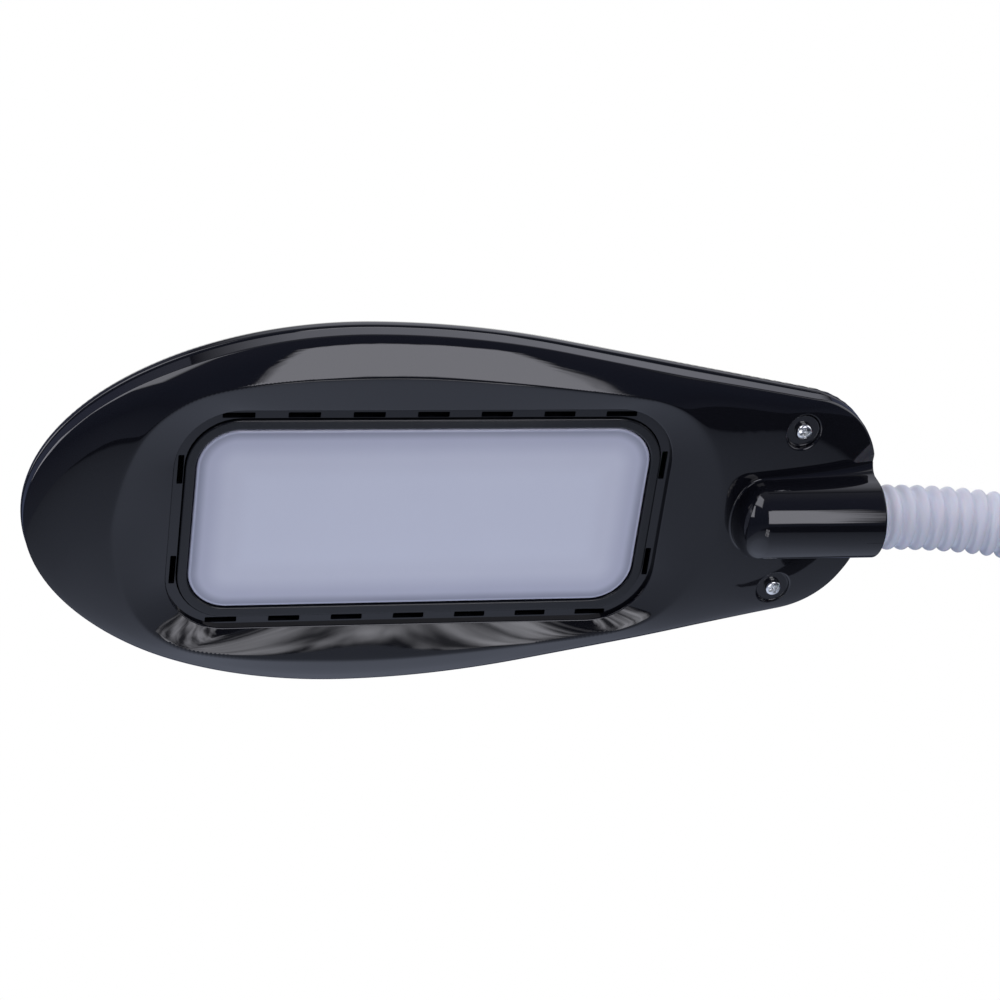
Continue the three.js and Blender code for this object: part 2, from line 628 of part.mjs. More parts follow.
const socketScrewsZ = [10, 21];
const SET_SCREW_Z = 19;
function neckSocket() {
  const axisY = NECK_FOOT.y;
  const body = post(0, axisY, SOCKET.bottom, SOCKET_TOP, SOCKET.r, 36, SOCKET.r - 1.2);
  const back = block([-9, axisY, SOCKET.bottom + 1], [9, -PLATE.thick - GAP, SOCKET_TOP - 3]);
  const sleeveBore = post(0, axisY, SOCKET_TOP - NECK_IN_SOCKET - GAP, SOCKET_TOP + 5, BORE_R, 28);
  const ferruleBore = post(0, axisY, SOCKET_TOP - 26, SOCKET_TOP, 7.6, 24);
  const inletBore = post(0, axisY, SOCKET.bottom - 5, SOCKET_TOP - 20, INLET.r + GAP, 24);
  const screwHoles = socketScrewsZ.map((z) =>
    solid(moved(new THREE.CylinderGeometry(1.6, 1.6, 7.5, 12), 0, -PLATE.thick - GAP - 3, z)),
  );
  const setScrewRoom = new THREE.CylinderGeometry(1.8, 1.8, 12, 12);
  const setScrewHole = solid(moved(setScrewRoom, 0, axisY - SOCKET.r, SET_SCREW_Z));
  return cut(join(body, back), sleeveBore, ferruleBore, inletBore, setScrewHole, ...screwHoles);
}

// The grub screw that pins the neck's ferrule in the socket, with a hexagonal key hole.
function setScrew() {
  const length = 5;
  const middle = NECK_FOOT.y - 7.3 - GAP - length / 2;
  const body = solid(moved(new THREE.CylinderGeometry(1.5, 1.5, length, 12), 0, middle, SET_SCREW_Z));
  const key = solid(moved(new THREE.CylinderGeometry(0.8, 0.8, 2, 6), 0, middle - length / 2, SET_SCREW_Z));
  return cut(body, key);
}

function lowerFerrule() {
  const body = post(0, NECK_FOOT.y, SOCKET_TOP - 25.5, SOCKET_TOP - 16.6, 7.3, 24);
  return cut(body, post(0, NECK_FOOT.y, 0, SOCKET_TOP, CORE_R + GAP, 20));
}

function dcInlet() {
  const y = NECK_FOOT.y;
  const body = join(
    post(0, y, SOCKET.bottom - 1.8, SOCKET.bottom + 9, INLET.r, 16),
    post(0, y, SOCKET.bottom - 1.8, SOCKET.bottom - GAP, INLET.flange, 6),
  );
  const bore = post(0, y, SOCKET.bottom - 3, SOCKET.bottom + 7, INLET.bore, 12);
  return join(cut(body, bore), post(0, y, SOCKET.bottom - 1, SOCKET.bottom + 8, 0.9, 8));
}

// A countersunk screw along y, with its head flush in the plate's contact face.
function plateScrew(z) {
  const shaft = new THREE.CylinderGeometry(1.3, 1.3, 8, 12);
  const head = new THREE.CylinderGeometry(1.7, 1.3, 1.6, 20);
  const body = join(solid(moved(shaft, 0, -4.9, z)), solid(moved(head, 0, -1.2, z)));
  const arm = (w, h) => block([-w, -1, z - h], [w, 1, z + h]);
  return cut(body, arm(1.1, 0.25), arm(0.25, 1.1));
}

// ---------------------------------------------------------------- assembly
const picture_light = new THREE.Group();

const head = new THREE.Group();
head.rotation.x = THREE.MathUtils.degToRad(90 + HEAD_AIM);
const exit = new THREE.Vector3(BOSS.end, 0, BOSS.z).applyEuler(head.rotation);
head.position.copy(NECK_HEAD).sub(exit);

head.add(
  mesh("front_shell", frontShell(), MATERIAL.glossBlack),
  mesh("rear_cover", rearCover(), MATERIAL.glossBlack),
  mesh("panel_frame", panelFrame(), MATERIAL.satinBlack),
  mesh("diffuser", diffuser(), MATERIAL.diffuser),
  mesh("light_guide", lightGuide(), MATERIAL.clear),
  mesh("reflector_sheet", reflectorSheet(), MATERIAL.whiteSheet),
  mesh("back_plate", backPlate(), MATERIAL.aluminium),
  mesh("led_strip_upper", ledStrip(1), MATERIAL.whiteBoard),
  mesh("led_strip_lower", ledStrip(-1), MATERIAL.whiteBoard),
  mesh("driver_board", driverBoard(), MATERIAL.board),
  mesh("power_button", powerButton(), MATERIAL.satinBlack),
  mesh("led_wire_upper", ledWire(1), MATERIAL.cable),
  mesh("led_wire_lower", ledWire(-1), MATERIAL.cable),
  mesh("head_lead", headLead(), MATERIAL.cable),
  mesh("neck_clamp", neckClamp(), MATERIAL.steel),
  mesh("upper_ferrule", ferrule(BORE_FROM + 6, BOSS.end - NECK_IN_BOSS - GAP, 7.7), MATERIAL.steel),
);
mainScrews.forEach(([x, y], i) => {
  const screw = crossScrew(x, y, SCREW_SEAT_Z + 0.1, 11, 1.3, 2.45, 1.9);
  head.add(mesh(`shell_screw_${i + 1}`, screw, MATERIAL.steel));
});
ears.forEach(([x, y], i) => {
  const screw = crossScrewFromBehind(x, y, FRAME_EAR.bottom - 0.1, 2.9, 1, 2, 1.4);
  head.add(mesh(`frame_screw_${i + 1}`, screw, MATERIAL.steel));
});
boardScrews.forEach(([x, y], i) => {
  const screw = crossScrew(x, y, DRIVER.top + 0.1, 5, 0.9, 1.8, 1.3);
  head.add(mesh(`board_screw_${i + 1}`, screw, MATERIAL.steel));
});
clampScrews.forEach(([x, y], i) => {
  const screw = crossScrewFromBehind(x, y, CLAMP.bottom - 0.1, 4.5, 1, 2, 1.4);
  head.add(mesh(`clamp_screw_${i + 1}`, screw, MATERIAL.steel));
});

picture_light.add(
  head,
  ...neckPieces(),
  mesh("mount_plate", mountPlate(), MATERIAL.plate),
  mesh("neck_socket", neckSocket(), MATERIAL.glossBlack),
  mesh("lower_ferrule", lowerFerrule(), MATERIAL.steel),
  mesh("dc_inlet", dcInlet(), MATERIAL.satinBlack),
  mesh("set_screw", setScrew(), MATERIAL.steel),
);
socketScrewsZ.forEach((z, i) => {
  picture_light.add(mesh(`plate_screw_${i + 1}`, plateScrew(z), MATERIAL.steel));
});

export default picture_light;
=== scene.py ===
import math
from functools import partial
import bpy
import numpy as np
from mathutils import Matrix, Vector
from mathutils.geometry import delaunay_2d_cdt

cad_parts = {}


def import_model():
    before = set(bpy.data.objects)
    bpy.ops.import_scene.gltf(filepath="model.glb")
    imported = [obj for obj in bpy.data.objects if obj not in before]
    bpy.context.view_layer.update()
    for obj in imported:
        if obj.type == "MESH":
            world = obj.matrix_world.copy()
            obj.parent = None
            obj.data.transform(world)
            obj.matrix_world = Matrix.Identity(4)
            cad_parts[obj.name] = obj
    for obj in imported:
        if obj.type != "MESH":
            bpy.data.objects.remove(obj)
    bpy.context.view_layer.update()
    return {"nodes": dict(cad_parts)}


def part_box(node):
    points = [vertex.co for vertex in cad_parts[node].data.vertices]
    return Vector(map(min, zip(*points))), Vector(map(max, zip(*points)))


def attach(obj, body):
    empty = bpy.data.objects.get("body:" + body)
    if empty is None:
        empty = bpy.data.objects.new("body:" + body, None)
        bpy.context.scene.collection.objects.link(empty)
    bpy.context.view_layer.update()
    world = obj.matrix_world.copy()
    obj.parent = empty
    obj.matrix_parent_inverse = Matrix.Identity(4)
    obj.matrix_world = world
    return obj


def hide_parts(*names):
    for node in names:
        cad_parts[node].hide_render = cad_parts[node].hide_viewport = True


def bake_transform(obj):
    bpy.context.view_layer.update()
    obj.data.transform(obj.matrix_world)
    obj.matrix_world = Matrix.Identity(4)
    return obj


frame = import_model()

MM = 0.001

# ---------------------------------------------------------------- sizes
# These are the CAD model's, apart from the boss's cap and the rear cover's curve, which follow the photo.
NOSE_X, WIDEST_X, TAPER_X, TAIL_X = -107.5, -17.0, 36.0, 131.5
HALF_WIDTH, TAPER_SLOPE, TAIL_CORNER_R = 55.0, 0.2, 25.0
SIDE_ARC_R = (TAPER_X - WIDEST_X) / TAPER_SLOPE
RIDGE_NOSE_Z, RIDGE_TAIL_Z, LIP_Z, EDGE_Z, PARTING_Z = 4.0, 2.4, 1.3, -3.7, -7.0
COVER_RIM_Z, COVER_WALL_Z, COVER_DEPTH, COVER_INSET = -7.3, -8.0, 13.5, 0.4
LIP, FRAME_OUT, WINDOW = (68.6, 33.5, 17.0), (65.6, 30.5, 14.0), (62.9, 27.6, 11.5)
FRAME_BACK_Z = -8.6
VENT_X, VENT_Y, VENT_END_Y, VENT_PITCH = 66.8, 31.7, 15.5, 17.5
VENT_LENGTH, VENT_WIDTH, VENTS_LONG_SIDE, VENT_DEPTH = 8.7, 1.6, 7, 1.5
BOSS_R, BOSS_Z, BOSS_CAP_X, BOSS_CAP, BOSS_END_X, BORE_R = 11.4, 3.5, 96.2, 7.5, 130.5, 9.6
SCREW_X, SCREW_Y, SCREW_CUP_R, SCREW_SEAT_Z = 106.5, 25.4, 4.9, -1.5
SCREW_HEAD_R, SCREW_HEAD_H = 2.45, 1.9
BUTTON_X, BUTTON_R, BUTTON_FACE_Z, BUTTON_BASE_Z = 84.0, 6.0, -21.0, -15.8
HEAD_AIM = 30.4
SLEEVE_CREST_R, SLEEVE_ROOT_R, SLEEVE_PITCH, LEAD_R = 9.25, 7.95, 4.35, 2.2
NECK_PULL_FOOT, NECK_PULL_HEAD, NECK_IN_BOSS, NECK_IN_SOCKET = 165.0, 90.0, 18.0, 16.0
HINGES_AT = (38.0, 88.0, 138.0, 188.0, 238.0)
FOOT_Y, SOCKET_TOP, SOCKET_LOW, SOCKET_R = -17.0, 40.0, 4.0, 13.0
PLATE_X, PLATE_Z, PLATE_THICK, PLATE_CORNER = 25.0, 36.0, 3.0, 7.0
PLATE_HOLE_X, PLATE_HOLE_Z, PLATE_HOLE_R = 18.5, 28.5, 2.4
SOCKET_SCREWS_Z, SET_SCREW_Z = (10.0, 21.0), 19.0
INLET_R, INLET_BORE, INLET_FLANGE = 5.6, 2.9, 7.4
SHAFT_R, SHAFT_TIP_R = 1.3, 0.8

# Roundings and limits that only the visual model has.
CREST_WIDTH, EDGE_ROUND, BOSS_ROUND, LIP_ROUND, CUP_ROUND, HOLE_ROUND = 0.22, 1.1, 0.6, 0.45, 0.7, 0.6
NEAR_CAP, BROAD_FROM, COVER_POWER, PANE_RIM_REACH, BEND_REACH = 2.6, 99.0, 2.3, 16.0, 20.0
CUP_HALOS, BUTTON_HALOS = (5.9, 6.4, 7.0), (7.3, 8.0)
UP = (0.0, 0.0, 1.0)
FOOT_AXIS = (0, FOOT_Y, 0), UP

# The crest around the dished face for y >= 0, from the nose to the tail.
RIDGE_HALF = (
    (-84.4, 0), (-83.2, 10), (-80.9, 19), (-77, 27.5), (-70.5, 34.6), (-61, 39.7), (-45, 42.7),
    (-24, 44), (-6, 44.1), (12, 43), (34, 40.8), (54, 38.3), (64, 36.2), (71.5, 32.3),
    (77.5, 25.8), (82, 17.5), (84.8, 9), (85.7, 0),
)

# ---------------------------------------------------------------- the head's place
def head_matrix():
    low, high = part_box("light_guide")
    turn = Matrix.Rotation(math.radians(90 + HEAD_AIM), 4, "X")
    guide_middle = turn @ Vector((0, 0, -4.35 * MM))
    return Matrix.Translation((low + high) / 2 - guide_middle) @ turn @ Matrix.Scale(MM, 4)


HEAD = head_matrix()
ROW = Matrix.Scale(MM, 4)

# The camera's place and axes in the head's frame, found from where the outline and the slots appear.
CAMERA_AT = (-187.76, 394.28, 658.02)
CAMERA_RIGHT, CAMERA_UP, CAMERA_BACK = (
    (0.9644, 0.1243, 0.2334), (0.0115, 0.8622, -0.5064), (-0.2642, 0.4911, 0.8301),
)
CAMERA_LENS = 104.65


def make_camera():
    turn = HEAD.to_3x3().normalized()
    axes = [(turn @ Vector(a)).normalized() for a in (CAMERA_RIGHT, CAMERA_UP, CAMERA_BACK)]
    axes[1] = axes[2].cross(axes[0]).normalized()
    axes[0] = axes[1].cross(axes[2]).normalized()
    data = bpy.data.cameras.new("camera")
    data.lens, data.sensor_width, data.clip_start, data.clip_end = CAMERA_LENS, 36, 0.01, 50
    camera = bpy.data.objects.new("camera", data)
    bpy.context.scene.collection.objects.link(camera)
    camera.matrix_world = Matrix.Translation(HEAD @ Vector(CAMERA_AT)) @ Matrix(axes).transposed().to_4x4()
    bpy.context.scene.camera = camera


make_camera()


# ---------------------------------------------------------------- meshes
def mesh(name, points, faces, material, place=ROW, normals=None, sharp=None):
    """An object in the shared frame. Without normals, large faces decide the shading around small bevels."""
    points = np.asarray(points, float)
    turned = points @ np.array(place.to_3x3()).T + np.array(place.translation)
    data = bpy.data.meshes.new(name)
    data.from_pydata([tuple(p) for p in turned], [], [tuple(int(i) for i in f) for f in faces])
    data.validate()
    data.shade_smooth()
    data.materials.append(material)
    piece = bpy.data.objects.new(name, data)
    bpy.context.scene.collection.objects.link(piece)
    if sharp is not None:
        data.set_sharp_from_angle(angle=math.radians(sharp))
    elif normals is not False:
        given = area_normals(points, faces) if normals is None else normals
        given = given @ np.array(place.to_3x3().normalized()).T
        data.normals_split_custom_set_from_vertices([tuple(n) for n in given])
    return piece


def unit(v):
    v = np.asarray(v, float)
    return v / np.maximum(np.linalg.norm(v, axis=-1, keepdims=True), 1e-12)


def area_normals(points, faces):
    total = np.zeros_like(points)
    for face in faces:
        corners = points[list(face)]
        middle = corners - corners[0]
        normal = np.cross(middle[1:-1], middle[2:]).sum(axis=0)
        total[list(face)] += normal
    return unit(total)


def merge(*parts):
    """One set of points and faces from several."""
    points, faces, count = [], [], 0
    for p, f in parts:
        points.append(np.asarray(p, float))
        faces += [[i + count for i in face] for face in f]
        count += len(p)
    return np.vstack(points), faces


def strip(rows, closed=True):
    """Quads between rows of points, each row closed on itself or open."""
    n = len(rows[0])
    last = n if closed else n - 1
    faces = []
    for k in range(len(rows) - 1):
        for i in range(last):
            j = (i + 1) % n
            faces.append([k * n + i, k * n + j, (k + 1) * n + j, (k + 1) * n + i])
    return np.vstack(rows), faces


def rounded_path(corners, radius, steps=4):
    """A path of (along, radius) corners with each inner corner rounded."""
    corners = [np.array(c, float) for c in corners]
    path = [corners[0]]
    for a, b, c in zip(corners, corners[1:], corners[2:]):
        before, after = a - b, c - b
        reach = min(radius, 0.45 * np.linalg.norm(before), 0.45 * np.linalg.norm(after))
        start, end = b + unit(before) * reach, b + unit(after) * reach
        for t in np.linspace(0, 1, steps + 1):
            path.append((1 - t) ** 2 * start + 2 * t * (1 - t) * b + t**2 * end)
    return path + [corners[-1]]


def lathe(path, origin, axis, sides=64, start=0.0):
    """A turned shape from a path of (along, radius) pairs. The path runs with the outside on its left."""
    axis = unit(axis)
    aside = unit(np.cross(axis, (0.3, 1.0, 0.2)))
    across = np.cross(axis, aside)
    turns = start + np.arange(sides) / sides * 2 * math.pi
    rim = np.cos(turns)[:, None] * aside + np.sin(turns)[:, None] * across
    rows = [np.array(origin, float) + along * axis + r * rim for along, r in path]
    return strip(rows)


def rounded_box(size, steps=10):
    """The outline of a rounded rectangle, anticlockwise from its right side."""
    x, y, r = size
    points = []
    for cx, cy, start in ((x - r, y - r, 0), (r - x, y - r, 90), (r - x, r - y, 180), (x - r, r - y, 270)):
        for a in np.radians(np.linspace(start, start + 90, steps + 1)):
            points.append((cx + r * math.cos(a), cy + r * math.sin(a)))
    return np.array(points)


def divided(outline, spacing):
    """The same closed outline with extra points, no further apart than the spacing."""
    points = []
    for a, b in zip(outline, np.roll(outline, -1, axis=0)):
        n = max(1, math.ceil(np.linalg.norm(b - a) / spacing))
        points += [a + (b - a) * i / n for i in range(n)]
    return np.array(points)


def mixed_box(a, b, t):
    return tuple(p + (q - p) * t for p, q in zip(a, b))


def inside(outline, points):
    """Which points lie inside a closed outline."""
    a, b = outline, np.roll(outline, -1, axis=0)
    px, py = points[:, :1], points[:, 1:]
    crosses = (a[:, 1] > py) != (b[:, 1] > py)
    with np.errstate(divide="ignore", invalid="ignore"):
        at = a[:, 0] + (py - a[:, 1]) / (b[:, 1] - a[:, 1]) * (b[:, 0] - a[:, 0])
    return (np.logical_and(crosses, px < at).sum(axis=1) % 2) == 1


def triangulate(flat, loops):
    """Triangles over flat points inside the first loop and outside the others. Loops list point indices."""
    edges = [(loop[i - 1], loop[i]) for loop in loops for i in range(len(loop))]
    found = delaunay_2d_cdt([Vector(p) for p in flat], edges, [], 0, 1e-5, True)
    points, faces, source = np.array([tuple(p) for p in found[0]]), found[2], found[3]
    middles = np.array([points[list(f)].mean(axis=0) for f in faces])
    keep = inside(flat[loops[0]], middles)
    for loop in loops[1:]:
        keep &= ~inside(flat[loop], middles)
    first = [s[0] if s else -1 for s in source]
    return [[first[i] for i in f] for f, k in zip(faces, keep) if k and min(first[i] for i in f) >= 0]


def flat_region(outer, holes, z, up=True):
    """A flat face at height z between an outline and its holes."""
    rings = [np.asarray(outer)] + [np.asarray(h) for h in holes]
    flat = np.vstack(rings)
    loops, count = [], 0
    for ring in rings:
        loops.append(list(range(count, count + len(ring))))
        count += len(ring)
    faces = triangulate(flat, loops)
    return at_height(flat, z), faces if up else [f[::-1] for f in faces]


def at_height(outline, z):
    return np.column_stack([outline, np.full(len(outline), z)])


def ring_points(reach, turns):
    return np.column_stack([reach * np.cos(turns), reach * np.sin(turns)])


def circle(count):
    """Points evenly around a circle of radius 1."""
    return ring_points(np.ones(count), np.radians(np.arange(0, 360, 360 / count)))


def surface_normal(shape, points, step=0.02):
    """The directions in which a shape's value grows fastest, which is out of its surface."""
    x, y, z = points.T
    gradient = [
        shape(x + step, y, z) - shape(x - step, y, z),
        shape(x, y + step, z) - shape(x, y - step, z),
        shape(x, y, z + step) - shape(x, y, z - step),
    ]
    return unit(np.column_stack(gradient))


# ---------------------------------------------------------------- materials
BUMP_DEPTH = 0.0001


def set_sockets(node, values):
    for key, value in values.items():
        node.inputs[key.replace("_", " ")].default_value = value
    return node


def add_node(nodes, kind, settings=(), **values):
    """A new node; settings are its own options, and values go on its sockets."""
    node = nodes.new("ShaderNode" + kind)
    for key, value in dict(settings).items():
        setattr(node, key, value)
    return set_sockets(node, values)


def add_ramp(nodes, stops):
    ramp = add_node(nodes, "ValToRGB")
    while len(ramp.color_ramp.elements) < len(stops):
        ramp.color_ramp.elements.new(0.5)
    for element, (position, color) in zip(ramp.color_ramp.elements, stops):
        element.position, element.color = position, (*color, 1)
    return ramp


def wire(links, *joins):
    """Links, each given as a node, its output, the next node and its input."""
    for source, output, target, socket in joins:
        links.new(source.outputs[output], target.inputs[socket])


def material(name, **values):
    """A principled material; values go on the shader's own sockets."""
    made = bpy.data.materials.new(name)
    made.use_nodes = True
    shader = set_sockets(made.node_tree.nodes["Principled BSDF"], values)
    return made, made.node_tree.nodes, made.node_tree.links, shader


def noise_value(nodes, links, scale, low, high, detail=2.0, stretch=(1, 1, 1)):
    """A noise on the object's own coordinates, and a node that maps it between two values."""
    place = add_node(nodes, "TexCoord")
    mapping = add_node(nodes, "Mapping", Scale=stretch)
    noise = add_node(nodes, "TexNoise", Scale=scale, Detail=detail)
    spread = add_node(nodes, "MapRange", To_Min=low, To_Max=high)
    wire(links, (place, "Object", mapping, "Vector"), (mapping, "Vector", noise, "Vector"),
         (noise, "Fac", spread, "Value"))
    return noise, spread


def varied(name, color, other, roughness, scale, bump=0.0, stretch=(1, 1, 1), **values):
    """A finish whose colour and roughness wander between two values, with an optional fine bump."""
    made, nodes, links, shader = material(name, **values)
    noise, rough = noise_value(nodes, links, scale, *roughness, stretch=stretch)
    blend = add_node(nodes, "Mix", {"data_type": "RGBA"}, A=(*color, 1), B=(*other, 1))
    wire(links, (noise, "Fac", blend, "Factor"), (blend, "Result", shader, "Base Color"),
         (rough, "Result", shader, "Roughness"))
    if bump:
        relief = add_node(nodes, "Bump", Strength=bump, Distance=BUMP_DEPTH)
        wire(links, (noise, "Fac", relief, "Height"), (relief, "Normal", shader, "Normal"))
    return made


def diffuser_material():
    """Opal acrylic: paler in the middle, with painted shade that darkens it towards its rim and a painted
    highlight as a light line on the rim itself.
    """
    made, nodes, links, shader = material("opal_diffuser", Roughness=0.22)
    rim = add_node(nodes, "Attribute", {"attribute_name": "rim_distance"})
    # The ramp paints shade from the bezel's recess onto the pane's rim, with a thin painted highlight at its
    # very edge.
    ramp = add_ramp(nodes, (
        (0.0, (0.5, 0.51, 0.6)), (0.035, (0.52, 0.53, 0.62)), (0.06, (0.35, 0.36, 0.43)),
        (0.22, (0.58, 0.59, 0.675)), (0.6, (0.71, 0.72, 0.79)), (1.0, (0.75, 0.765, 0.835)),
    ))
    ramp.color_ramp.interpolation = "EASE"
    grain, _ = noise_value(nodes, links, 60, 0, 1)
    soften = add_node(nodes, "Mix", {"data_type": "RGBA", "blend_type": "SOFT_LIGHT"}, Factor=0.06)
    wire(links, (rim, "Fac", ramp, "Fac"), (ramp, "Color", soften, "A"), (grain, "Fac", soften, "B"),
         (soften, "Result", shader, "Base Color"))
    return made


def make_materials():
    return {
        "gloss_black": varied(
            "gloss_black_abs", (0.004, 0.0042, 0.006), (0.006, 0.0062, 0.0085), (0.025, 0.05), 35),
        "satin_black": varied(
            "satin_black_abs", (0.012, 0.0125, 0.015), (0.018, 0.018, 0.021), (0.3, 0.38), 400, bump=0.1),
        "bezel": varied(
            "bezel_black_abs", (0.004, 0.0045, 0.0055), (0.007, 0.0075, 0.009), (0.16, 0.22), 300,
            Specular_IOR_Level=0.4),
        "screw_steel": varied(
            "screw_steel", (0.55, 0.57, 0.56), (0.9, 0.9, 0.88), (0.12, 0.28), 900, bump=0.4, Metallic=1),
        "diffuser": diffuser_material(),
        "clear_acrylic": varied(
            "light_guide_acrylic", (0.78, 0.86, 0.88), (0.84, 0.9, 0.92), (0.05, 0.1), 60,
            Transmission_Weight=0.8),
        "white_sheet": varied("reflector_sheet", (0.8, 0.8, 0.8), (0.86, 0.86, 0.86), (0.5, 0.6), 200),
        "green_board": varied("circuit_board", (0.02, 0.1, 0.04), (0.03, 0.14, 0.05), (0.4, 0.5), 300),
        "neck_white": varied(
            "neck_sleeve_plastic", (0.68, 0.69, 0.75), (0.73, 0.735, 0.785), (0.36, 0.44), 120,
            bump=0.05, Subsurface_Weight=0.15, Subsurface_Scale=0.003),
        "cable": varied("cable_jacket", (0.02, 0.02, 0.02), (0.035, 0.035, 0.035), (0.5, 0.6), 300),
        "spring_steel": varied(
            "spring_steel", (0.3, 0.31, 0.32), (0.42, 0.42, 0.43), (0.3, 0.4), 300, Metallic=1),
        "bright_steel": varied(
            "zinc_plated_steel", (0.6, 0.61, 0.6), (0.82, 0.82, 0.8), (0.14, 0.3), 500, bump=0.25,
            Metallic=1),
        "aluminium": varied(
            "aluminium_sheet", (0.5, 0.51, 0.52), (0.6, 0.6, 0.61), (0.3, 0.4), 200,
            stretch=(1, 12, 12), Metallic=1),
        "black_metal": varied(
            "powder_coated_steel", (0.011, 0.011, 0.012), (0.02, 0.02, 0.021), (0.4, 0.5), 900, bump=0.35),
    }


MATERIALS = make_materials()


def finish_piece(piece, slot, body, *stands_for):
    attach(piece, body)
    if stands_for:
        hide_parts(*stands_for)
    return piece


INNER_SLOTS = {
    "light_guide": "clear_acrylic", "reflector_sheet": "white_sheet", "back_plate": "aluminium",
    "led_strip": "white_sheet", "driver_board": "green_board", "led_wire": "cable", "head_lead": "cable",
    "neck_clamp": "bright_steel", "ferrule": "bright_steel", "screw": "bright_steel",
    "neck_core": "spring_steel", "neck_lead": "cable", "neck_sleeve": "neck_white",
    "diffuser": "diffuser", "power_button": "satin_black", "mount_plate": "black_metal",
    "neck_socket": "black_metal", "dc_inlet": "bright_steel",
}


def finish_cad_nodes():
    """The CAD pieces take the material of their slot; the inner ones keep their shape as well."""
    for name, node in frame["nodes"].items():
        slot = next((s for part, s in INNER_SLOTS.items() if part in name), "gloss_black")
        if not node.data.materials:
            node.data.materials.append(None)
        for i in range(len(node.data.materials)):
            node.data.materials[i] = MATERIALS[slot]


# ---------------------------------------------------------------- the head's outlines
def leaf_outline():
    """The head's outline, closed. The tail stands back a little where the neck boss ends."""
    steep = math.atan(TAPER_SLOPE)
    corner_x = TAIL_X - TAIL_CORNER_R

    def taper(x):
        run = np.minimum(x, TAPER_X) - WIDEST_X
        return HALF_WIDTH - run**2 / (2 * SIDE_ARC_R) - TAPER_SLOPE * np.maximum(0, x - TAPER_X)

    corner_y = taper(corner_x) - TAIL_CORNER_R * math.hypot(1, TAPER_SLOPE)
    turn = np.linspace(math.pi, math.pi / 2, 220)
    nose = np.column_stack([WIDEST_X + (WIDEST_X - NOSE_X) * np.cos(turn), HALF_WIDTH * np.sin(turn)])
    x = np.linspace(WIDEST_X, corner_x + TAIL_CORNER_R * math.sin(steep), 180)[1:-1]
    side = np.column_stack([x, taper(x)])
    turn = np.linspace(math.pi / 2 - steep, 0, 90)
    corner = ring_points(TAIL_CORNER_R, turn) + (corner_x, corner_y)
    tail = np.column_stack([np.full(30, TAIL_X), np.linspace(corner_y, 0, 31)[1:]])
    half = np.vstack([nose, side, corner, tail])
    step_back = np.clip((np.abs(half[:, 1]) - BOSS_R - 0.2) / 8, 0, 1)
    limit = BOSS_END_X + (TAIL_X - BOSS_END_X) * step_back**2 * (3 - 2 * step_back)
    half[:, 0] = np.minimum(half[:, 0], limit)
    return np.vstack([half, (half * (1, -1))[-2:0:-1]])


def ridge_outline():
    half = np.array(RIDGE_HALF, float)
    knots = np.vstack([half, (half * (1, -1))[-2:0:-1]])
    points = []
    for i in range(len(knots)):
        a, b, c, d = (knots[(i + k) % len(knots)] for k in (-1, 0, 1, 2))
        for t in np.linspace(0, 1, 24, endpoint=False):
            points.append(0.5 * (2 * b + (c - a) * t + (2 * a - 5 * b + 4 * c - d) * t**2
                                 + (3 * b - a - 3 * c + d) * t**3))
    return np.array(points)


class Polar:
    """How far an outline is from the head's origin in each direction."""

    def __init__(self, outline, smooth=0):
        self.turn = np.linspace(-math.pi, math.pi, 7201)
        dense = divided(outline, 0.25)
        turn = np.arctan2(dense[:, 1], dense[:, 0])
        order = np.argsort(turn)
        self.reach = np.interp(self.turn, turn[order], np.hypot(*dense.T)[order], period=2 * math.pi)
        if smooth:
            span = 3 * smooth
            kernel = np.exp(-0.5 * (np.arange(-span, span + 1) / smooth) ** 2)
            kernel /= kernel.sum()
            padded = np.concatenate([self.reach[-span - 1:-1], self.reach, self.reach[1:span + 1]])
            self.reach = np.convolve(padded, kernel, mode="valid")

    def __call__(self, x, y):
        return np.interp(np.arctan2(y, x), self.turn, self.reach)


LEAF_OUTLINE = leaf_outline()
LEAF = Polar(LEAF_OUTLINE)
RIDGE = Polar(ridge_outline(), smooth=25)
LIP_REACH = Polar(rounded_box(LIP, 40))


# ---------------------------------------------------------------- front shell
def ridge_z(x):
    return RIDGE_NOSE_Z + (RIDGE_TAIL_Z - RIDGE_NOSE_Z) * (x - NOSE_X) / (TAIL_X - NOSE_X)


def face_z(x, y):
    """The front face without the boss: an outer band that falls from the crest, and the dish inside it."""
    r = np.hypot(x, y)
    leaf, ridge, lip = LEAF(x, y), RIDGE(x, y), LIP_REACH(x, y)
    crest = ridge_z(x * ridge / np.maximum(r, 1))
    t = (r - ridge) / (leaf - ridge)
    drop = 0.67 * t + 0.33 * np.maximum(t, 0) ** 5
    band = ridge_z(x) - drop * (ridge_z(x) - EDGE_Z)
    dish = crest + (LIP_Z - crest) * (ridge - r) / (ridge - lip)
    return (band + dish - np.sqrt((band - dish) ** 2 + CREST_WIDTH**2)) / 2


def boss_distance(x, y, z):
    """About the distance to the boss: a half-round barrel with straight sides and a blunt cap."""
    lengthwise = np.minimum(x - BOSS_CAP_X, 0) / BOSS_CAP
    across, up = y / BOSS_R, np.maximum(z - BOSS_Z, 0) / BOSS_R
    share = np.sqrt(lengthwise**2 + across**2 + up**2)
    steep = np.sqrt((lengthwise / BOSS_CAP) ** 2 + (across / BOSS_R) ** 2 + (up / BOSS_R) ** 2)
    return share * (share - 1) / np.maximum(steep, 1e-6)


def fillet_width(x, y):
    """The boss runs into the face with a fillet that widens towards the neck."""
    along = np.clip((x - BOSS_CAP_X) / (BOSS_END_X - BOSS_CAP_X), 0, 1)
    return 0.7 + np.where(y > 0, 3.6, 1.2) * along**1.3


def skin(x, y, z):
    """Negative inside the front shell, zero on its skin."""
    face = z - face_z(x, y)
    boss = boss_distance(x, y, z)
    k = fillet_width(x, y)
    mix = np.maximum(k - np.abs(face - boss), 0) / k
    return np.minimum(face, boss) - mix**2 * k / 4


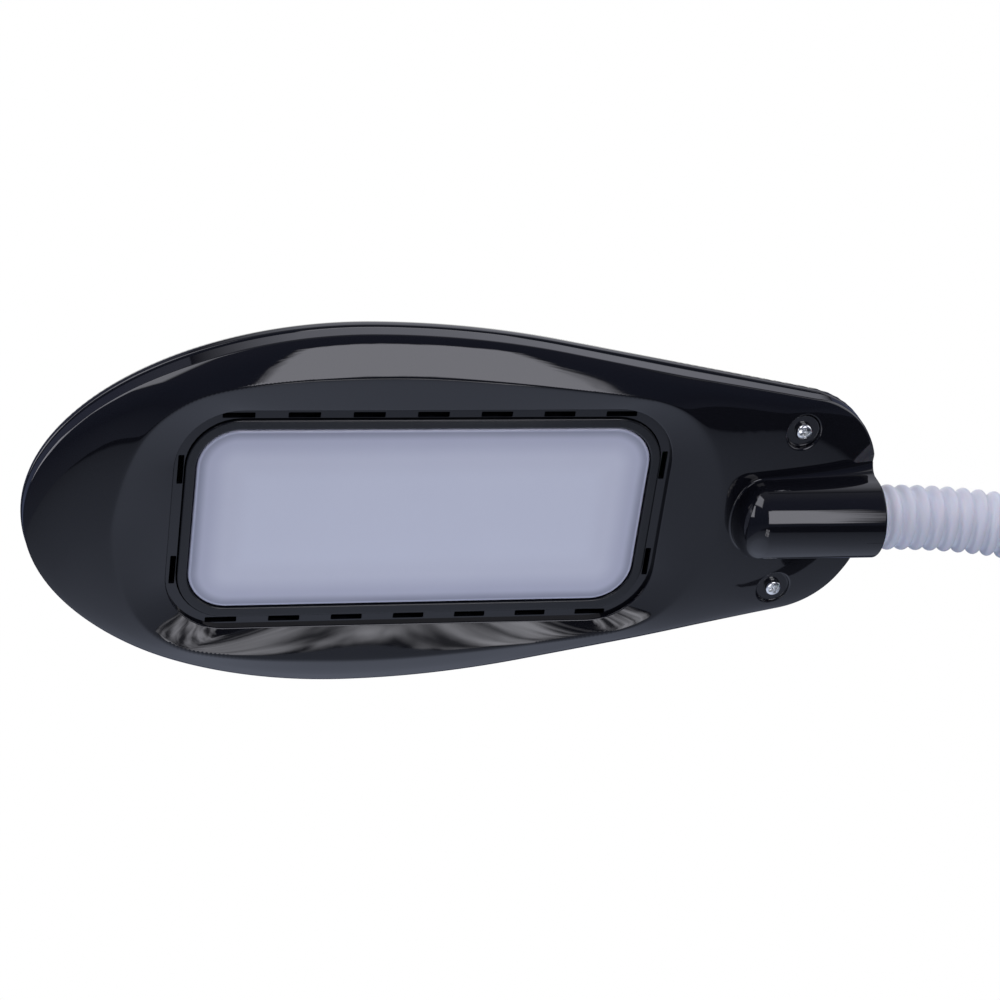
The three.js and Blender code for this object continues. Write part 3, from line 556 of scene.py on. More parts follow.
def skin_z(x, y):
    """The height of the skin, found between below the face and above the boss."""
    low, high = np.full_like(x, -12.0), np.full_like(x, 20.0)
    for _ in range(46):
        middle = (low + high) / 2
        above = skin(x, y, middle) > 0
        low, high = np.where(above, low, middle), np.where(above, middle, high)
    return (low + high) / 2


def unfolded(points):
    """Flat coordinates in which the steep sides of the boss don't fold over each other."""
    x, y, z = points.T
    away = unit(np.column_stack([np.minimum(x - BOSS_CAP_X, 0) / BOSS_CAP**2, (y + 1e-9) / BOSS_R**2]))
    push = np.clip(BOSS_Z + BOSS_R - z, 0, 20)
    near = np.clip((x - 60) / 20, 0, 1)
    return points[:, :2] + away * (push * near)[:, None]


def skin_samples():
    """Points all over the face: rings between the outlines, finer where the face bends."""
    turns = np.radians(np.arange(0, 360, 0.75))
    unit_ring = ring_points(np.ones_like(turns), turns)
    leaf, ridge, lip = (f(*unit_ring.T) for f in (LEAF, RIDGE, LIP_REACH))
    rings = []
    for t in (0.006, 0.014, 0.028, 0.06, 0.12, 0.2, 0.3, 0.4, 0.5, 0.6, 0.7, 0.78, 0.85, 0.9, 0.95):
        rings.append(ring_points(ridge + (leaf - EDGE_ROUND - ridge) * t, turns))
    for s in (0, 0.01, 0.03, 0.07, 0.15, 0.3, 0.5, 0.7, 0.88):
        rings.append(ring_points(ridge + (lip + 0.5 - ridge) * s, turns))
    return np.vstack(rings)


def boss_samples():
    """Points over the boss and its fillet, laid out around its axis."""
    across = BOSS_R * np.cos(np.radians(np.linspace(0, 180, 91)))
    lengths = np.arange(BOSS_CAP_X, BOSS_END_X - BOSS_ROUND - 0.2, 1.0)
    points = [np.column_stack([np.full(91, x), across]) for x in lengths]
    turns = np.radians(np.arange(90, 270.1, 3))
    for tilt in np.radians(np.arange(2, 90, 2.5)):
        share = math.sin(tilt)
        points.append(ring_points(share, turns) * (BOSS_CAP, BOSS_R) + (BOSS_CAP_X, 0))
    for out in (0.05, 0.12, 0.25, 0.45, 0.7, 1.0, 1.4, 1.9, 2.5, 3.2, 4.0, 5.0, 6.2, 7.5):
        run = lengths if out < NEAR_CAP else lengths[lengths > BROAD_FROM]
        for side in (-1, 1):
            points.append(np.column_stack([run, np.full_like(run, side * (BOSS_R + out))]))
        if out > NEAR_CAP:
            continue
        points.append(ring_points(1, turns) * (BOSS_CAP + out, BOSS_R + out) + (BOSS_CAP_X, 0))
    return np.vstack(points)


def near_boss(flat):
    """Close to the cap, where the crest of the dish passes, and further out along the barrel."""
    x, y = flat.T
    away = np.hypot(np.minimum(x - BOSS_CAP_X, 0) / (BOSS_CAP + NEAR_CAP), y / (BOSS_R + NEAR_CAP))
    return (away < 1.05) | ((x > BROAD_FROM - 0.7) & (np.abs(y) < BOSS_R + 8))


def skin_boundary():
    """The loop where the face meets the rounding of its edge, with the boss's end included."""
    dense = divided(LEAF_OUTLINE, 0.8)
    tangent = unit(np.roll(dense, -1, axis=0) - np.roll(dense, 1, axis=0))
    outward = np.column_stack([tangent[:, 1], -tangent[:, 0]])
    if np.mean((dense * outward).sum(axis=1)) < 0:
        outward = -outward
    tail = (dense[:, 0] > BOSS_END_X - 0.1) & (np.abs(dense[:, 1]) < BOSS_R + 2.4)
    plain = dense[~tail]
    plain_out = outward[~tail]
    start = np.argmax(np.linalg.norm(plain - np.roll(plain, 1, axis=0), axis=1) > 5)
    plain, plain_out = np.roll(plain, -start, axis=0), np.roll(plain_out, -start, axis=0)
    sign = 1 if plain[-1, 1] > 0 else -1
    around = np.radians(np.linspace(0, 180, 91))
    beyond = [BOSS_R + o for o in (2.2, 1.7, 1.2, 0.8, 0.5, 0.28, 0.13, 0.05)]
    y = np.concatenate([beyond, BOSS_R * np.cos(around)])
    y = np.unique(np.round(np.concatenate([y, -y]), 5))[::-1] * sign
    boss = np.column_stack([np.full(len(y), BOSS_END_X), y])
    beside = np.where(plain[:, 0] > TAIL_X - 12, np.clip((np.abs(plain[:, 1]) - BOSS_R - 1) / 10, 0.12, 1), 1)
    flank = np.clip(1 - (np.abs(boss[:, 1]) - BOSS_R) / 1.2, 0.2, 1)
    rounding = np.concatenate([EDGE_ROUND * beside, BOSS_ROUND * flank])
    outline = np.vstack([plain, boss])
    outward = np.vstack([plain_out, np.tile((1.0, 0.0), (len(boss), 1))])
    return outline, outward, rounding, len(plain)


def edge_arc(top, normal, outward, rounding, steps=6):
    """Rows of points and normals that turn from the face down to the side wall."""
    side = at_height(outward, 0)
    rows, normals = [], []
    centre = top - normal * rounding[:, None]
    for t in np.linspace(0, 1, steps + 1):
        n = unit(normal * (1 - t) + side * t)
        rows.append(centre + n * rounding[:, None])
        normals.append(n)
    return rows, normals


def front_skin():
    outline, outward, rounding, plain_count = skin_boundary()
    top_flat = outline - outward * rounding[:, None]
    top_flat[:plain_count, 0] = np.minimum(top_flat[:plain_count, 0], BOSS_END_X - 0.2)
    cups = [np.array([SCREW_X, s * SCREW_Y]) for s in (1, -1)]
    cup_loops = [c + (SCREW_CUP_R + CUP_ROUND) * circle(72) for c in cups]
    halos = [c + r * circle(72) for c in cups for r in CUP_HALOS]
    lip_flat = divided(rounded_box(grown(LIP, LIP_ROUND), 14), 0.9)
    body = skin_samples()
    body = body[~near_boss(body)]
    for c in cups:
        body = body[np.linalg.norm(body - c, axis=1) > CUP_HALOS[-1] + 0.4]
    boss = boss_samples()
    boss = boss[inside(divided(top_flat, 5), boss) & (boss[:, 0] < BOSS_END_X - BOSS_ROUND - 0.15)]
    flat = np.vstack([top_flat, lip_flat, *cup_loops, *halos, body, boss])
    points = np.column_stack([flat, skin_z(*flat.T)])
    loops, start = [], 0
    for ring in (top_flat, lip_flat, *cup_loops):
        loops.append(list(range(start, start + len(ring))))
        start += len(ring)
    faces = triangulate(unfolded(points), loops)
    return points, faces, surface_normal(skin, points), loops, (outward, rounding, plain_count)


def grown(size, by):
    return tuple(v + by for v in size)


def facing(points, faces, normals):
    """The same faces, each turned so that it looks the way its vertex normals do."""
    out = []
    for f in faces:
        a, b, c = (points[f[i]] for i in (0, 1, 2))
        looks = np.dot(np.cross(b - a, c - a), normals[list(f)].sum(axis=0))
        out.append(list(f) if looks >= 0 else list(f)[::-1])
    return out


def shaded_strip(rows, row_normals, closed=True):
    points, faces = strip(rows, closed)
    normals = np.vstack(row_normals)
    return points, facing(points, faces, normals), normals


def shell_wall(points, normals, loop, edge):
    """The rounded edge and the side wall down to the parting line."""
    outward, rounding, plain_count = edge
    ids = loop[:plain_count]
    side = at_height(outward[:plain_count], 0)
    rows, ns = edge_arc(points[ids], normals[ids], outward[:plain_count], rounding[:plain_count])
    foot = rows[-1].copy()
    foot[:, 2] = PARTING_Z + 0.35
    under = foot - side * 0.3
    under[:, 2] = PARTING_Z
    back = under - side * 2.0
    down = np.tile((0.0, 0.0, -1.0), (plain_count, 1))
    rows += [foot, under, back]
    ns += [side, unit(side + down), down]
    return shaded_strip(rows, ns, closed=False)


def boss_end(points, normals, loop, edge):
    """The rounded end of the boss and its flat face around the bore."""
    plain_count = edge[2]
    ids = [loop[plain_count - 1]] + loop[plain_count:] + [loop[0]]
    count = len(ids)
    forward = np.tile((1.0, 0.0), (count, 1))
    rows, ns = edge_arc(points[ids], normals[ids], forward, np.full(count, BOSS_ROUND))
    for row in rows:
        row[:, 0] = np.minimum(row[:, 0], BOSS_END_X)
    rim = rows[-1]
    rim[:, 0] = BOSS_END_X
    arc = shaded_strip(rows, ns, closed=False)
    turns = np.linspace(0, 2 * math.pi, 73)[:-1]
    bore, opening = (ring_points(r, turns) + (0, BOSS_Z) for r in (BORE_R, BORE_R + 0.3))
    outline = np.vstack([rim[:, 1:], [[rim[-1, 1], PARTING_Z], [rim[0, 1], PARTING_Z]]])
    flat, faces = flat_region(outline, [opening], 0)
    face = np.column_stack([np.full(len(flat), BOSS_END_X), flat[:, :2]])
    looks = np.tile((1.0, 0.0, 0.0), (len(face), 1))
    end = (face, facing(face, faces, looks), looks)
    spokes = np.column_stack([np.zeros(72), np.cos(turns), np.sin(turns)])
    ring = [np.column_stack([np.full(72, x), p]) for x, p in (
        (BOSS_END_X, opening), (BOSS_END_X - 0.3, bore), (BOSS_END_X - 21, bore))]
    ring_n = [looks[:72], -spokes, -spokes]
    return arc, end, shaded_strip(ring, ring_n)


def shell_cup(points, normals, loop, centre):
    """A screw recess: rounded rim, wall, seat and the hole for the shaft."""
    rim, looks = points[loop], normals[loop]
    inward = unit(at_height(centre - rim[:, :2], 0))
    rows, ns = edge_arc(rim, looks, inward[:, :2], np.full(len(rim), CUP_ROUND))
    up = np.tile(UP, (len(rim), 1))
    path = ((SCREW_CUP_R, SCREW_SEAT_Z + 0.5), (SCREW_CUP_R - 0.12, SCREW_SEAT_Z + 0.18),
            (SCREW_CUP_R - 0.45, SCREW_SEAT_Z), (SCREW_HEAD_R * 0.8, SCREW_SEAT_Z))
    for (r, z), share in zip(path, (0, 0.45, 1, 1)):
        rows.append(at_height(centre - inward[:, :2] * r, z))
        ns.append(unit(inward * (1 - share) + up * share))
    return shaded_strip(rows, ns)


def slot_outlines():
    """The vent slots around the panel: seven along each long side and two at each end."""
    slots = []
    for side in (-1, 1):
        for i in range(VENTS_LONG_SIDE):
            x = (i - (VENTS_LONG_SIDE - 1) / 2) * VENT_PITCH
            slots.append(((x, side * VENT_Y), (VENT_LENGTH / 2, VENT_WIDTH / 2, 0.25)))
        for end in (-1, 1):
            slots.append(((end * VENT_X, side * VENT_END_Y), (VENT_WIDTH / 2, VENT_LENGTH / 2, 0.25)))
    return [rounded_box(size, 3) + np.array(at) for at, size in slots]


def lip_and_floor(points, normals, loop):
    """The lip of the dish, the vent floor below it and the walls of the slots."""
    rim, looks = points[loop], normals[loop]
    tangent = unit(np.roll(rim, -1, axis=0) - np.roll(rim, 1, axis=0))[:, :2]
    inward = np.column_stack([-tangent[:, 1], tangent[:, 0]])
    inward = np.where((inward * rim[:, :2]).sum(axis=1, keepdims=True) > 0, -inward, inward)
    rows, ns = edge_arc(rim, looks, inward, np.full(len(rim), LIP_ROUND))
    foot = rows[-1].copy()
    foot[:, 2] = 0
    rows.append(foot)
    ns.append(at_height(inward, 0))
    parts = [shaded_strip(rows, ns)]
    slots = slot_outlines()
    opening = divided(rounded_box(grown(FRAME_OUT, 0.3), 10), 4)
    flat, faces = flat_region(foot[:, :2], [opening, *slots], 0)
    looks = np.tile(UP, (len(flat), 1))
    parts.append((flat, facing(flat, faces, looks), looks))
    for outline in [opening, *slots]:
        towards = unit(at_height(outline.mean(axis=0) - outline, 0))
        rows = [at_height(outline, 0), at_height(outline, -VENT_DEPTH)]
        parts.append(shaded_strip(rows, [towards, towards]))
    return parts


def shaded_merge(*parts):
    points, faces = merge(*((p, f) for p, f, _ in parts))
    return points, faces, np.vstack([n for _, _, n in parts])


def front_shell():
    points, faces, normals, loops, edge = front_skin()
    parts = [(points, facing(points, faces, normals), normals), shell_wall(points, normals, loops[0], edge)]
    parts += boss_end(points, normals, loops[0], edge)
    parts += lip_and_floor(points, normals, loops[1])
    for loop, s in zip(loops[2:], (1, -1)):
        parts.append(shell_cup(points, normals, loop, np.array([SCREW_X, s * SCREW_Y])))
    points, faces, normals = shaded_merge(*parts)
    shell = mesh("front_shell_skin", points, faces, MATERIALS["gloss_black"], HEAD, normals)
    finish_piece(shell, "gloss_black", "head", "front_shell")


# ---------------------------------------------------------------- rear cover
def cover_reach(x, y):
    return LEAF(x, y) - COVER_INSET


def cover_shape(x, y, z):
    """Zero on the domed back, which falls away ever faster towards its rim."""
    share = np.hypot(x, y) / cover_reach(x, y)
    depth = np.maximum(COVER_WALL_Z - z, 0) / COVER_DEPTH
    return share**COVER_POWER + depth**COVER_POWER - 1


def cover_z(x, y):
    share = np.clip(np.hypot(x, y) / cover_reach(x, y), 0, 1)
    return COVER_WALL_Z - COVER_DEPTH * (1 - share**COVER_POWER) ** (1 / COVER_POWER)


def rear_cover():
    turns = np.radians(np.arange(0, 360, 1.0))
    reach = cover_reach(np.cos(turns), np.sin(turns))
    lean = np.linspace(math.pi / 2, 0.06, 44)
    rings = [ring_points(reach * math.sin(a) ** (2 / COVER_POWER), turns) for a in lean]
    button = np.array([BUTTON_X, 0.0])
    hole = button + (BUTTON_R + 0.3 + HOLE_ROUND) * circle(72)
    halos = [button + r * circle(72) for r in BUTTON_HALOS]
    body = np.vstack(rings[1:])
    body = body[np.linalg.norm(body - button, axis=1) > BUTTON_HALOS[-1] + 0.6]
    flat = np.vstack([rings[0], hole, *halos, body, [[0.0, 0.0]]])
    points = np.column_stack([flat, cover_z(*flat.T)])
    points[:len(turns), 2] = COVER_WALL_Z
    away = unit(flat + 1e-9)
    plane = flat + away * (points[:, 2] - points[:, 2].min())[:, None]
    rim_ids = list(range(len(turns)))
    hole_ids = list(range(len(turns), len(turns) + len(hole)))
    normals = surface_normal(cover_shape, points)
    dome = (points, facing(points, triangulate(plane, [rim_ids, hole_ids]), normals), normals)
    side, rim = unit(normals[rim_ids] * (1, 1, 0)), points[rim_ids]
    up = np.tile(UP, (len(rim), 1))
    rows, looks = [rim], [side]
    steps = ((0, COVER_RIM_Z - 0.35, side), (0.3, COVER_RIM_Z, unit(side + up)), (2.3, COVER_RIM_Z, up))
    for inward, z, n in steps:
        row = rim - side * inward
        row[:, 2] = z
        rows.append(row)
        looks.append(n)
    wall = shaded_strip(rows, looks, closed=True)
    edge, inward = points[hole_ids], button - flat[hole_ids]
    rows, looks = edge_arc(edge, normals[hole_ids], unit(inward), np.full(len(edge), HOLE_ROUND))
    deep = rows[-1].copy()
    deep[:, 2] = BUTTON_BASE_Z - 1.2
    rows.append(deep)
    looks.append(looks[-1])
    points, faces, normals = shaded_merge(dome, wall, shaded_strip(rows, looks))
    cover = mesh("rear_cover_dome", points, faces, MATERIALS["gloss_black"], HEAD, normals)
    finish_piece(cover, "gloss_black", "head", "rear_cover")


# ---------------------------------------------------------------- light panel
def box_loft(path, low_size, high_size, width):
    """Rounded rectangles along a path of (offset, z), sized between two rectangles."""
    return strip([at_height(rounded_box(mixed_box(low_size, high_size, o / width), 12), z) for o, z in path])


def panel_frame():
    """The bezel: a rounded lip around the window on a wall that goes down into the shell."""
    width = 2.8
    path = [(width, FRAME_BACK_Z)]
    path += rounded_path([(width, -1), (width, 0.8), (0, 0.8), (0, -1.1)], 0.5, 5)
    path += [(1.4, -1.1), (1.4, FRAME_BACK_Z), (width, FRAME_BACK_Z)]
    points, faces = box_loft(path, WINDOW, FRAME_OUT, width)
    frame_piece = mesh("panel_bezel", points, faces, MATERIALS["bezel"], HEAD)
    finish_piece(frame_piece, "gloss_black", "head", "panel_frame")


def diffuser():
    """The opal pane, with its distance from the rim kept on its points for the material's painted rim shade
    and highlight.
    """
    face_z, offsets, outlines = 0.45, [], []
    pane = grown(WINDOW, -0.3)
    rows = [(0, -2.4), (0, -0.1), (0.06, 0.15), (0.2, 0.33), (0.42, 0.43), (0.7, face_z)]
    rows += [(offset, face_z) for offset in (1.0, 1.5, 2.0, 2.8, 3.6, 4.6, 6, 7.5, 9, 11, 13, 16, 20, 24)]
    for offset, z in rows:
        size = (pane[0] - offset, pane[1] - offset, max(pane[2] - offset, 1.5))
        outlines.append(at_height(rounded_box(size, 16), z))
        offsets += [offset] * len(outlines[-1])
    points, faces = strip(outlines)
    last = len(points) - len(outlines[-1])
    faces.append(list(range(last, len(points))))
    piece = mesh("opal_pane", points, faces, MATERIALS["diffuser"], HEAD)
    rim = piece.data.attributes.new("rim_distance", "FLOAT", "POINT")
    rim.data.foreach_set("value", np.clip(np.array(offsets) / PANE_RIM_REACH, 0, 1).astype(np.float32))
    finish_piece(piece, "diffuser", "head", "diffuser")


# ---------------------------------------------------------------- screws and the button
def frame_for(axis):
    """Two directions across an axis."""
    aside = unit(np.cross(axis, (0.0, 0.0, 1.0) if abs(axis[2]) < 0.9 else (0.0, 1.0, 0.0)))
    return aside, np.cross(axis, aside)


def cross_recess(u, v, arm, half_width, depth):
    def bar(a, b):
        along = np.clip((arm - np.abs(a)) / (0.2 * arm), 0, 1)
        return along * np.clip((half_width - np.abs(b)) / (0.35 * half_width), 0, 1)

    middle = np.clip((0.45 * arm - np.hypot(u, v)) / (0.2 * arm), 0, 1)
    bars = np.maximum(bar(u, v), bar(v, u)) * (1 - 0.5 * np.hypot(u, v) / arm)
    return -depth * np.maximum(bars, 0.8 * middle)


def hex_recess(u, v, across, depth):
    reach = np.max([np.abs(u * math.cos(a) + v * math.sin(a)) for a in np.radians((0, 60, 120))], axis=0)
    return -depth * np.clip((across - reach) / 0.1, 0, 1)


def screw_head(at, axis, radius, height, recess, turn=0.0, dome=0.3):
    """A screw head standing along its axis, with a recess given as a height over its face."""
    axis = unit(axis)
    aside, across = frame_for(axis)
    turns = np.radians(np.arange(0, 360, 2.5))
    reaches = np.concatenate([np.linspace(0.02, 0.86, 36), (0.9, 0.94, 0.97, 0.99, 1.0)]) * radius
    rows = []
    for r in reaches:
        u, v = r * np.cos(turns), r * np.sin(turns)
        share = r / radius
        top = height * (1 - dome * share**2.4 - 0.3 * np.clip((share - 0.8) / 0.2, 0, 1) ** 2.2)
        a, b = (u * math.cos(turn) + v * math.sin(turn)), (v * math.cos(turn) - u * math.sin(turn))
        up = top + recess(a, b)
        rows.append(np.array(at) + u[:, None] * aside + v[:, None] * across + up[:, None] * axis)
    wall = np.array(at) + radius * (np.cos(turns)[:, None] * aside + np.sin(turns)[:, None] * across)
    rows.append(wall + 0.06 * height * axis)
    rows.append(wall)
    points, faces = strip(rows)
    faces.append(list(range(len(turns)))[::-1])
    return points, oriented(points, faces)


def oriented(points, faces):
    """The same faces, all turned outwards if they enclose a negative volume."""
    middle = points.mean(axis=0)
    volume = 0.0
    for f in faces:
        p = points[list(f)] - middle
        volume += np.einsum("ij,ij->", np.cross(p[1:-1], p[2:]), np.broadcast_to(p[0], p[1:-1].shape))
    return faces if volume > 0 else [list(f)[::-1] for f in faces]


def turned(name, path, origin, axis, material_name, place=ROW, sides=72, round_by=0.4, sharp=None, start=0.0):
    points, faces = lathe(rounded_path(path, round_by, 5), origin, axis, sides, start)
    return mesh(name, points, oriented(points, faces), MATERIALS[material_name], place, sharp=sharp)


def cross_screw(name, at, axis, size, recess, length, turn, dome=0.3, place=ROW):
    """A cross-recess screw: its head of a radius and height, and its shaft below."""
    arm, half_width, depth = recess
    cross = partial(cross_recess, arm=arm, half_width=half_width, depth=depth)
    head = screw_head(at, axis, *size, cross, turn, dome)
    path = [(0.0, SHAFT_R), (0.5 - length, SHAFT_R), (-length, SHAFT_TIP_R), (-length, 0.01)]
    points, faces = merge(head, lathe(path, at, axis, 24))
    return mesh(name, points, faces, MATERIALS["screw_steel"], place)


def shell_screws():
    for number, (side, turn) in enumerate(((-1, 0.5), (1, 0.25)), 1):
        at = (SCREW_X, side * SCREW_Y, SCREW_SEAT_Z + 0.1)
        size, recess = (SCREW_HEAD_R, SCREW_HEAD_H), (1.5, 0.42, 1.0)
        screw = cross_screw(f"pan_screw_{number}", at, UP, size, recess, 11.0, turn, place=HEAD)
        finish_piece(screw, "bright_steel", "head", f"shell_screw_{number}")


def power_button():
    """A push button that stands a little proud of the dome, with a dished face and a light mark."""
    low, high = BUTTON_FACE_Z, BUTTON_BASE_Z
    path = [(high + 0.8, 1.6), (high, 1.6), (high, BUTTON_R + 1.2), (high - 1, BUTTON_R + 1.2),
            (high - 1, BUTTON_R), (low, BUTTON_R), (low, BUTTON_R - 0.9)]
    outer = rounded_path(path, 0.35, 5)
    dish = [(low + 0.45 * (1 - (r / 5.1) ** 2), r) for r in (4.6, 4.0, 3.2, 2.2, 1.2, 0.4, 0.01)]
    points, faces = lathe(outer + dish, (BUTTON_X, 0, 0), (0, 0, 1), 72)
    button = mesh("push_button", points, oriented(points, faces), MATERIALS["satin_black"], HEAD)
    finish_piece(button, "satin_black", "button", "power_button")
    steps = ((0.26, 2.5), (0.16, 2.6), (0.16, 3.0), (0.3, 3.1), (0.6, 2.8), (0.26, 2.5))
    ring = [(low + z, r) for z, r in steps]
    mark = turned("button_ring", ring, (BUTTON_X, 0, 0), (0, 0, 1), "neck_white", HEAD, round_by=0.05)
    finish_piece(mark, "neck_white", "button")


# ---------------------------------------------------------------- neck
NECK_FOOT = np.array((0.0, FOOT_Y, SOCKET_TOP))
NECK_HEAD = np.array(HEAD @ Vector((BOSS_END_X, 0, BOSS_Z))) / MM


def neck_curve():
    """Dense samples of the neck's middle line: distance, place, direction and two sideways directions."""
    t = np.linspace(0, 1, 4001)[:, None]
    a, d = NECK_FOOT, NECK_HEAD
    b, c = a + (0, 0, NECK_PULL_FOOT), d + (NECK_PULL_HEAD, 0, 0)
    middle = (1 - t) ** 3 * a + 3 * (1 - t) ** 2 * t * b + 3 * (1 - t) * t**2 * c + t**3 * d
    low = a + np.column_stack([np.zeros((41, 2)), np.linspace(-24, -0.6, 41)])
    high = d + np.column_stack([-np.linspace(0.6, 30, 41), np.zeros((41, 2))])
    points = np.vstack([low, middle, high])
    along = np.concatenate([[0], np.cumsum(np.linalg.norm(np.diff(points, axis=0), axis=1))]) - 24
    tangent = unit(np.gradient(points, axis=0))
    aside = np.empty_like(points)
    aside[0] = (1, 0, 0)
    for i in range(1, len(points)):
        aside[i] = unit(aside[i - 1] - tangent[i] * np.dot(aside[i - 1], tangent[i]))
    return along, points, tangent, aside


NECK_ALONG, NECK_POINTS, NECK_TANGENT, NECK_ASIDE = neck_curve()
NECK_LENGTH = NECK_ALONG[-42]


def neck_at(distance):
    """Place, direction and sideways directions at a distance along the neck."""
    place = np.array([np.interp(distance, NECK_ALONG, c) for c in NECK_POINTS.T])
    tangent = unit([np.interp(distance, NECK_ALONG, c) for c in NECK_TANGENT.T])
    aside = unit([np.interp(distance, NECK_ALONG, c) for c in NECK_ASIDE.T])
    return place, tangent, aside, np.cross(tangent, aside)


def sleeve_radius(distance):
    """The corrugation: rounded crests with narrower grooves between them."""
    phase = ((distance - NECK_LENGTH) / SLEEVE_PITCH + 0.5) % 1 - 0.5
    crest = np.clip(1 - (phase / 0.38) ** 2, 0, 1) ** 0.62
    return SLEEVE_ROOT_R + (SLEEVE_CREST_R - SLEEVE_ROOT_R) * crest


def neck_tube(low, high, spacing, radius, sides):
    turns = np.arange(sides) / sides * 2 * math.pi
    rows = []
    for distance in np.linspace(low, high, math.ceil((high - low) / spacing) + 1):
        place, _, aside, across = neck_at(distance)
        rim = np.cos(turns)[:, None] * aside + np.sin(turns)[:, None] * across
        rows.append(place + radius(distance) * rim)
    points, faces = strip(rows)
    return points, oriented(points, faces)


def neck():
    """The sleeve and lead are cut into stretches, one around each hinge, which meet midway between hinges."""
    between = [(a + b) / 2 for a, b in zip(HINGES_AT, HINGES_AT[1:])]
    splits = [-NECK_IN_SOCKET, *between, NECK_LENGTH + NECK_IN_BOSS]
    for i, hinge in enumerate(HINGES_AT):
        low, high = splits[i], splits[i + 1]
        shapes = (("sleeve", "neck_white", SLEEVE_PITCH / 14, sleeve_radius, 56),
                  ("lead", "cable", 2.0, lambda s: LEAD_R, 16))
        for part, slot, spacing, radius, sides in shapes:
            points, faces = neck_tube(low, high, spacing, radius, sides)
            piece = mesh(f"{part}_stretch_{i + 1}", points, faces, MATERIALS[slot], normals=False)
            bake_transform(piece)
            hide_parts(f"neck_{part}_{i + 1}")


# ---------------------------------------------------------------- foot
UPRIGHT = Matrix(((1, 0, 0, 0), (0, 0, -1, 0), (0, 1, 0, 0), (0, 0, 0, 1)))


def mount_plate():
    """A steel plate with softened edges and four countersunk holes; drawn flat, then stood upright."""
    size, soft = (PLATE_X, PLATE_Z, PLATE_CORNER), 0.45
    top, nip = PLATE_THICK, 0.13

    def outline(by):
        return rounded_box(grown(size, by), 10)

    edge = [(-soft, top), (-nip, top - nip), (0, top - soft), (0, soft), (-nip, nip), (-soft, 0)]
    parts = [strip([at_height(outline(by), z) for by, z in edge])]
    spots = [np.array((i * PLATE_HOLE_X, j * PLATE_HOLE_Z)) for i in (-1, 1) for j in (-1, 1)]
    front = [s + 4.3 * circle(40) for s in spots]
    back = [s + (PLATE_HOLE_R + 0.2) * circle(40) for s in spots]
    parts.append(flat_region(outline(-soft), front, top))
    parts.append(flat_region(outline(-soft), back, 0, up=False))
    for s in spots:
        path = ((4.3, top), (4.1, top - 0.15), (PLATE_HOLE_R + 0.1, 1.1), (PLATE_HOLE_R, 0.9),
                (PLATE_HOLE_R, 0.2), (PLATE_HOLE_R + 0.2, 0))
        parts.append(strip([at_height(s + r * circle(40), z) for r, z in path]))
    points, faces = merge(*parts)
    plate = mesh("wall_plate", points, faces, MATERIALS["black_metal"], ROW @ UPRIGHT, sharp=40)
    finish_piece(plate, "black_metal", "base", "mount_plate")


def neck_socket():
    """The turned socket that holds the neck, with the flat back that sits on the plate."""
    path = [(SOCKET_LOW + 18, 5.9), (SOCKET_LOW, 5.9), (SOCKET_LOW, SOCKET_R), (SOCKET_TOP, SOCKET_R - 1.2),
            (SOCKET_TOP, BORE_R), (SOCKET_TOP - 16.3, BORE_R), (SOCKET_TOP - 16.3, 7.6)]
    body = turned("socket", path, *FOOT_AXIS, "black_metal", round_by=0.9, sides=96)
    arc = np.linspace(-9, 9, 19)
    arc_y = FOOT_Y + np.sqrt(11.4**2 - arc**2)
    flat_y, bevel_y = -PLATE_THICK - 0.3, -PLATE_THICK - 1.0
    outline = np.array([*zip(arc, arc_y), (9, bevel_y), (8.3, flat_y), (-8.3, flat_y), (-9, bevel_y)])
    middle = outline.mean(axis=0)
    rows = []
    for share, z in ((0.955, 5.0), (0.99, 5.25), (1, 5.8), (1, 36.2), (0.99, 36.75), (0.955, 37)):
        rows.append(at_height(middle + (outline - middle) * share, z))
    points, faces = strip(rows)
    n = len(outline)
    faces += [list(range(n))[::-1], list(range(len(points) - n, len(points)))]
    back = mesh("socket_back", points, oriented(points, faces), MATERIALS["black_metal"], sharp=40)
    finish_piece(body, "black_metal", "base", "neck_socket")
    finish_piece(back, "black_metal", "base")


def foot_screws():
    at = (0, FOOT_Y - SOCKET_R + 5, SET_SCREW_Z)
    socket = partial(hex_recess, across=0.72, depth=1.6)
    points, faces = screw_head(at, (0, -1, 0), 1.5, 5.4, socket, dome=0.01)
    piece = mesh("grub_screw", points, faces, MATERIALS["screw_steel"])
    finish_piece(piece, "bright_steel", "base", "set_screw")
    for number, z in enumerate(SOCKET_SCREWS_Z, 1):
        size, recess = (1.7, 1.5), (1.1, 0.3, 0.7)
        piece = cross_screw(f"socket_screw_{number}", (0, -1.9, z), (0, 1, 0), size, recess, 7.0,
                            0.4 * number, dome=0.02)
        finish_piece(piece, "bright_steel", "base", f"plate_screw_{number}")


def dc_inlet():
    """The supply's inlet in the socket's underside: a hexagonal nut, a barrel and its pin."""
    low, seat, deep = SOCKET_LOW - 1.8, SOCKET_LOW - 0.3, SOCKET_LOW + 7
    nut = [(low, INLET_R + 0.2), (low, INLET_FLANGE), (seat, INLET_FLANGE), (seat, INLET_R + 0.2)]
    flange = turned("inlet_nut", nut, *FOOT_AXIS, "bright_steel", sides=6, round_by=0.25, sharp=25)
    barrel = [(deep + 2, INLET_R), (low - 0.05, INLET_R), (low - 0.05, INLET_BORE)]
    barrel += [(deep, INLET_BORE), (deep, 0.01)]
    jack = turned("inlet_barrel", barrel, *FOOT_AXIS, "satin_black", round_by=0.3)
    pin = [(deep, 0.9), (low + 0.9, 0.9), (low + 0.6, 0.01)]
    contact = turned("inlet_pin", pin, *FOOT_AXIS, "screw_steel", round_by=0.3, sides=32)
    finish_piece(jack, "satin_black", "base", "dc_inlet")
    finish_piece(flange, "bright_steel", "base")
    finish_piece(contact, "bright_steel", "base")


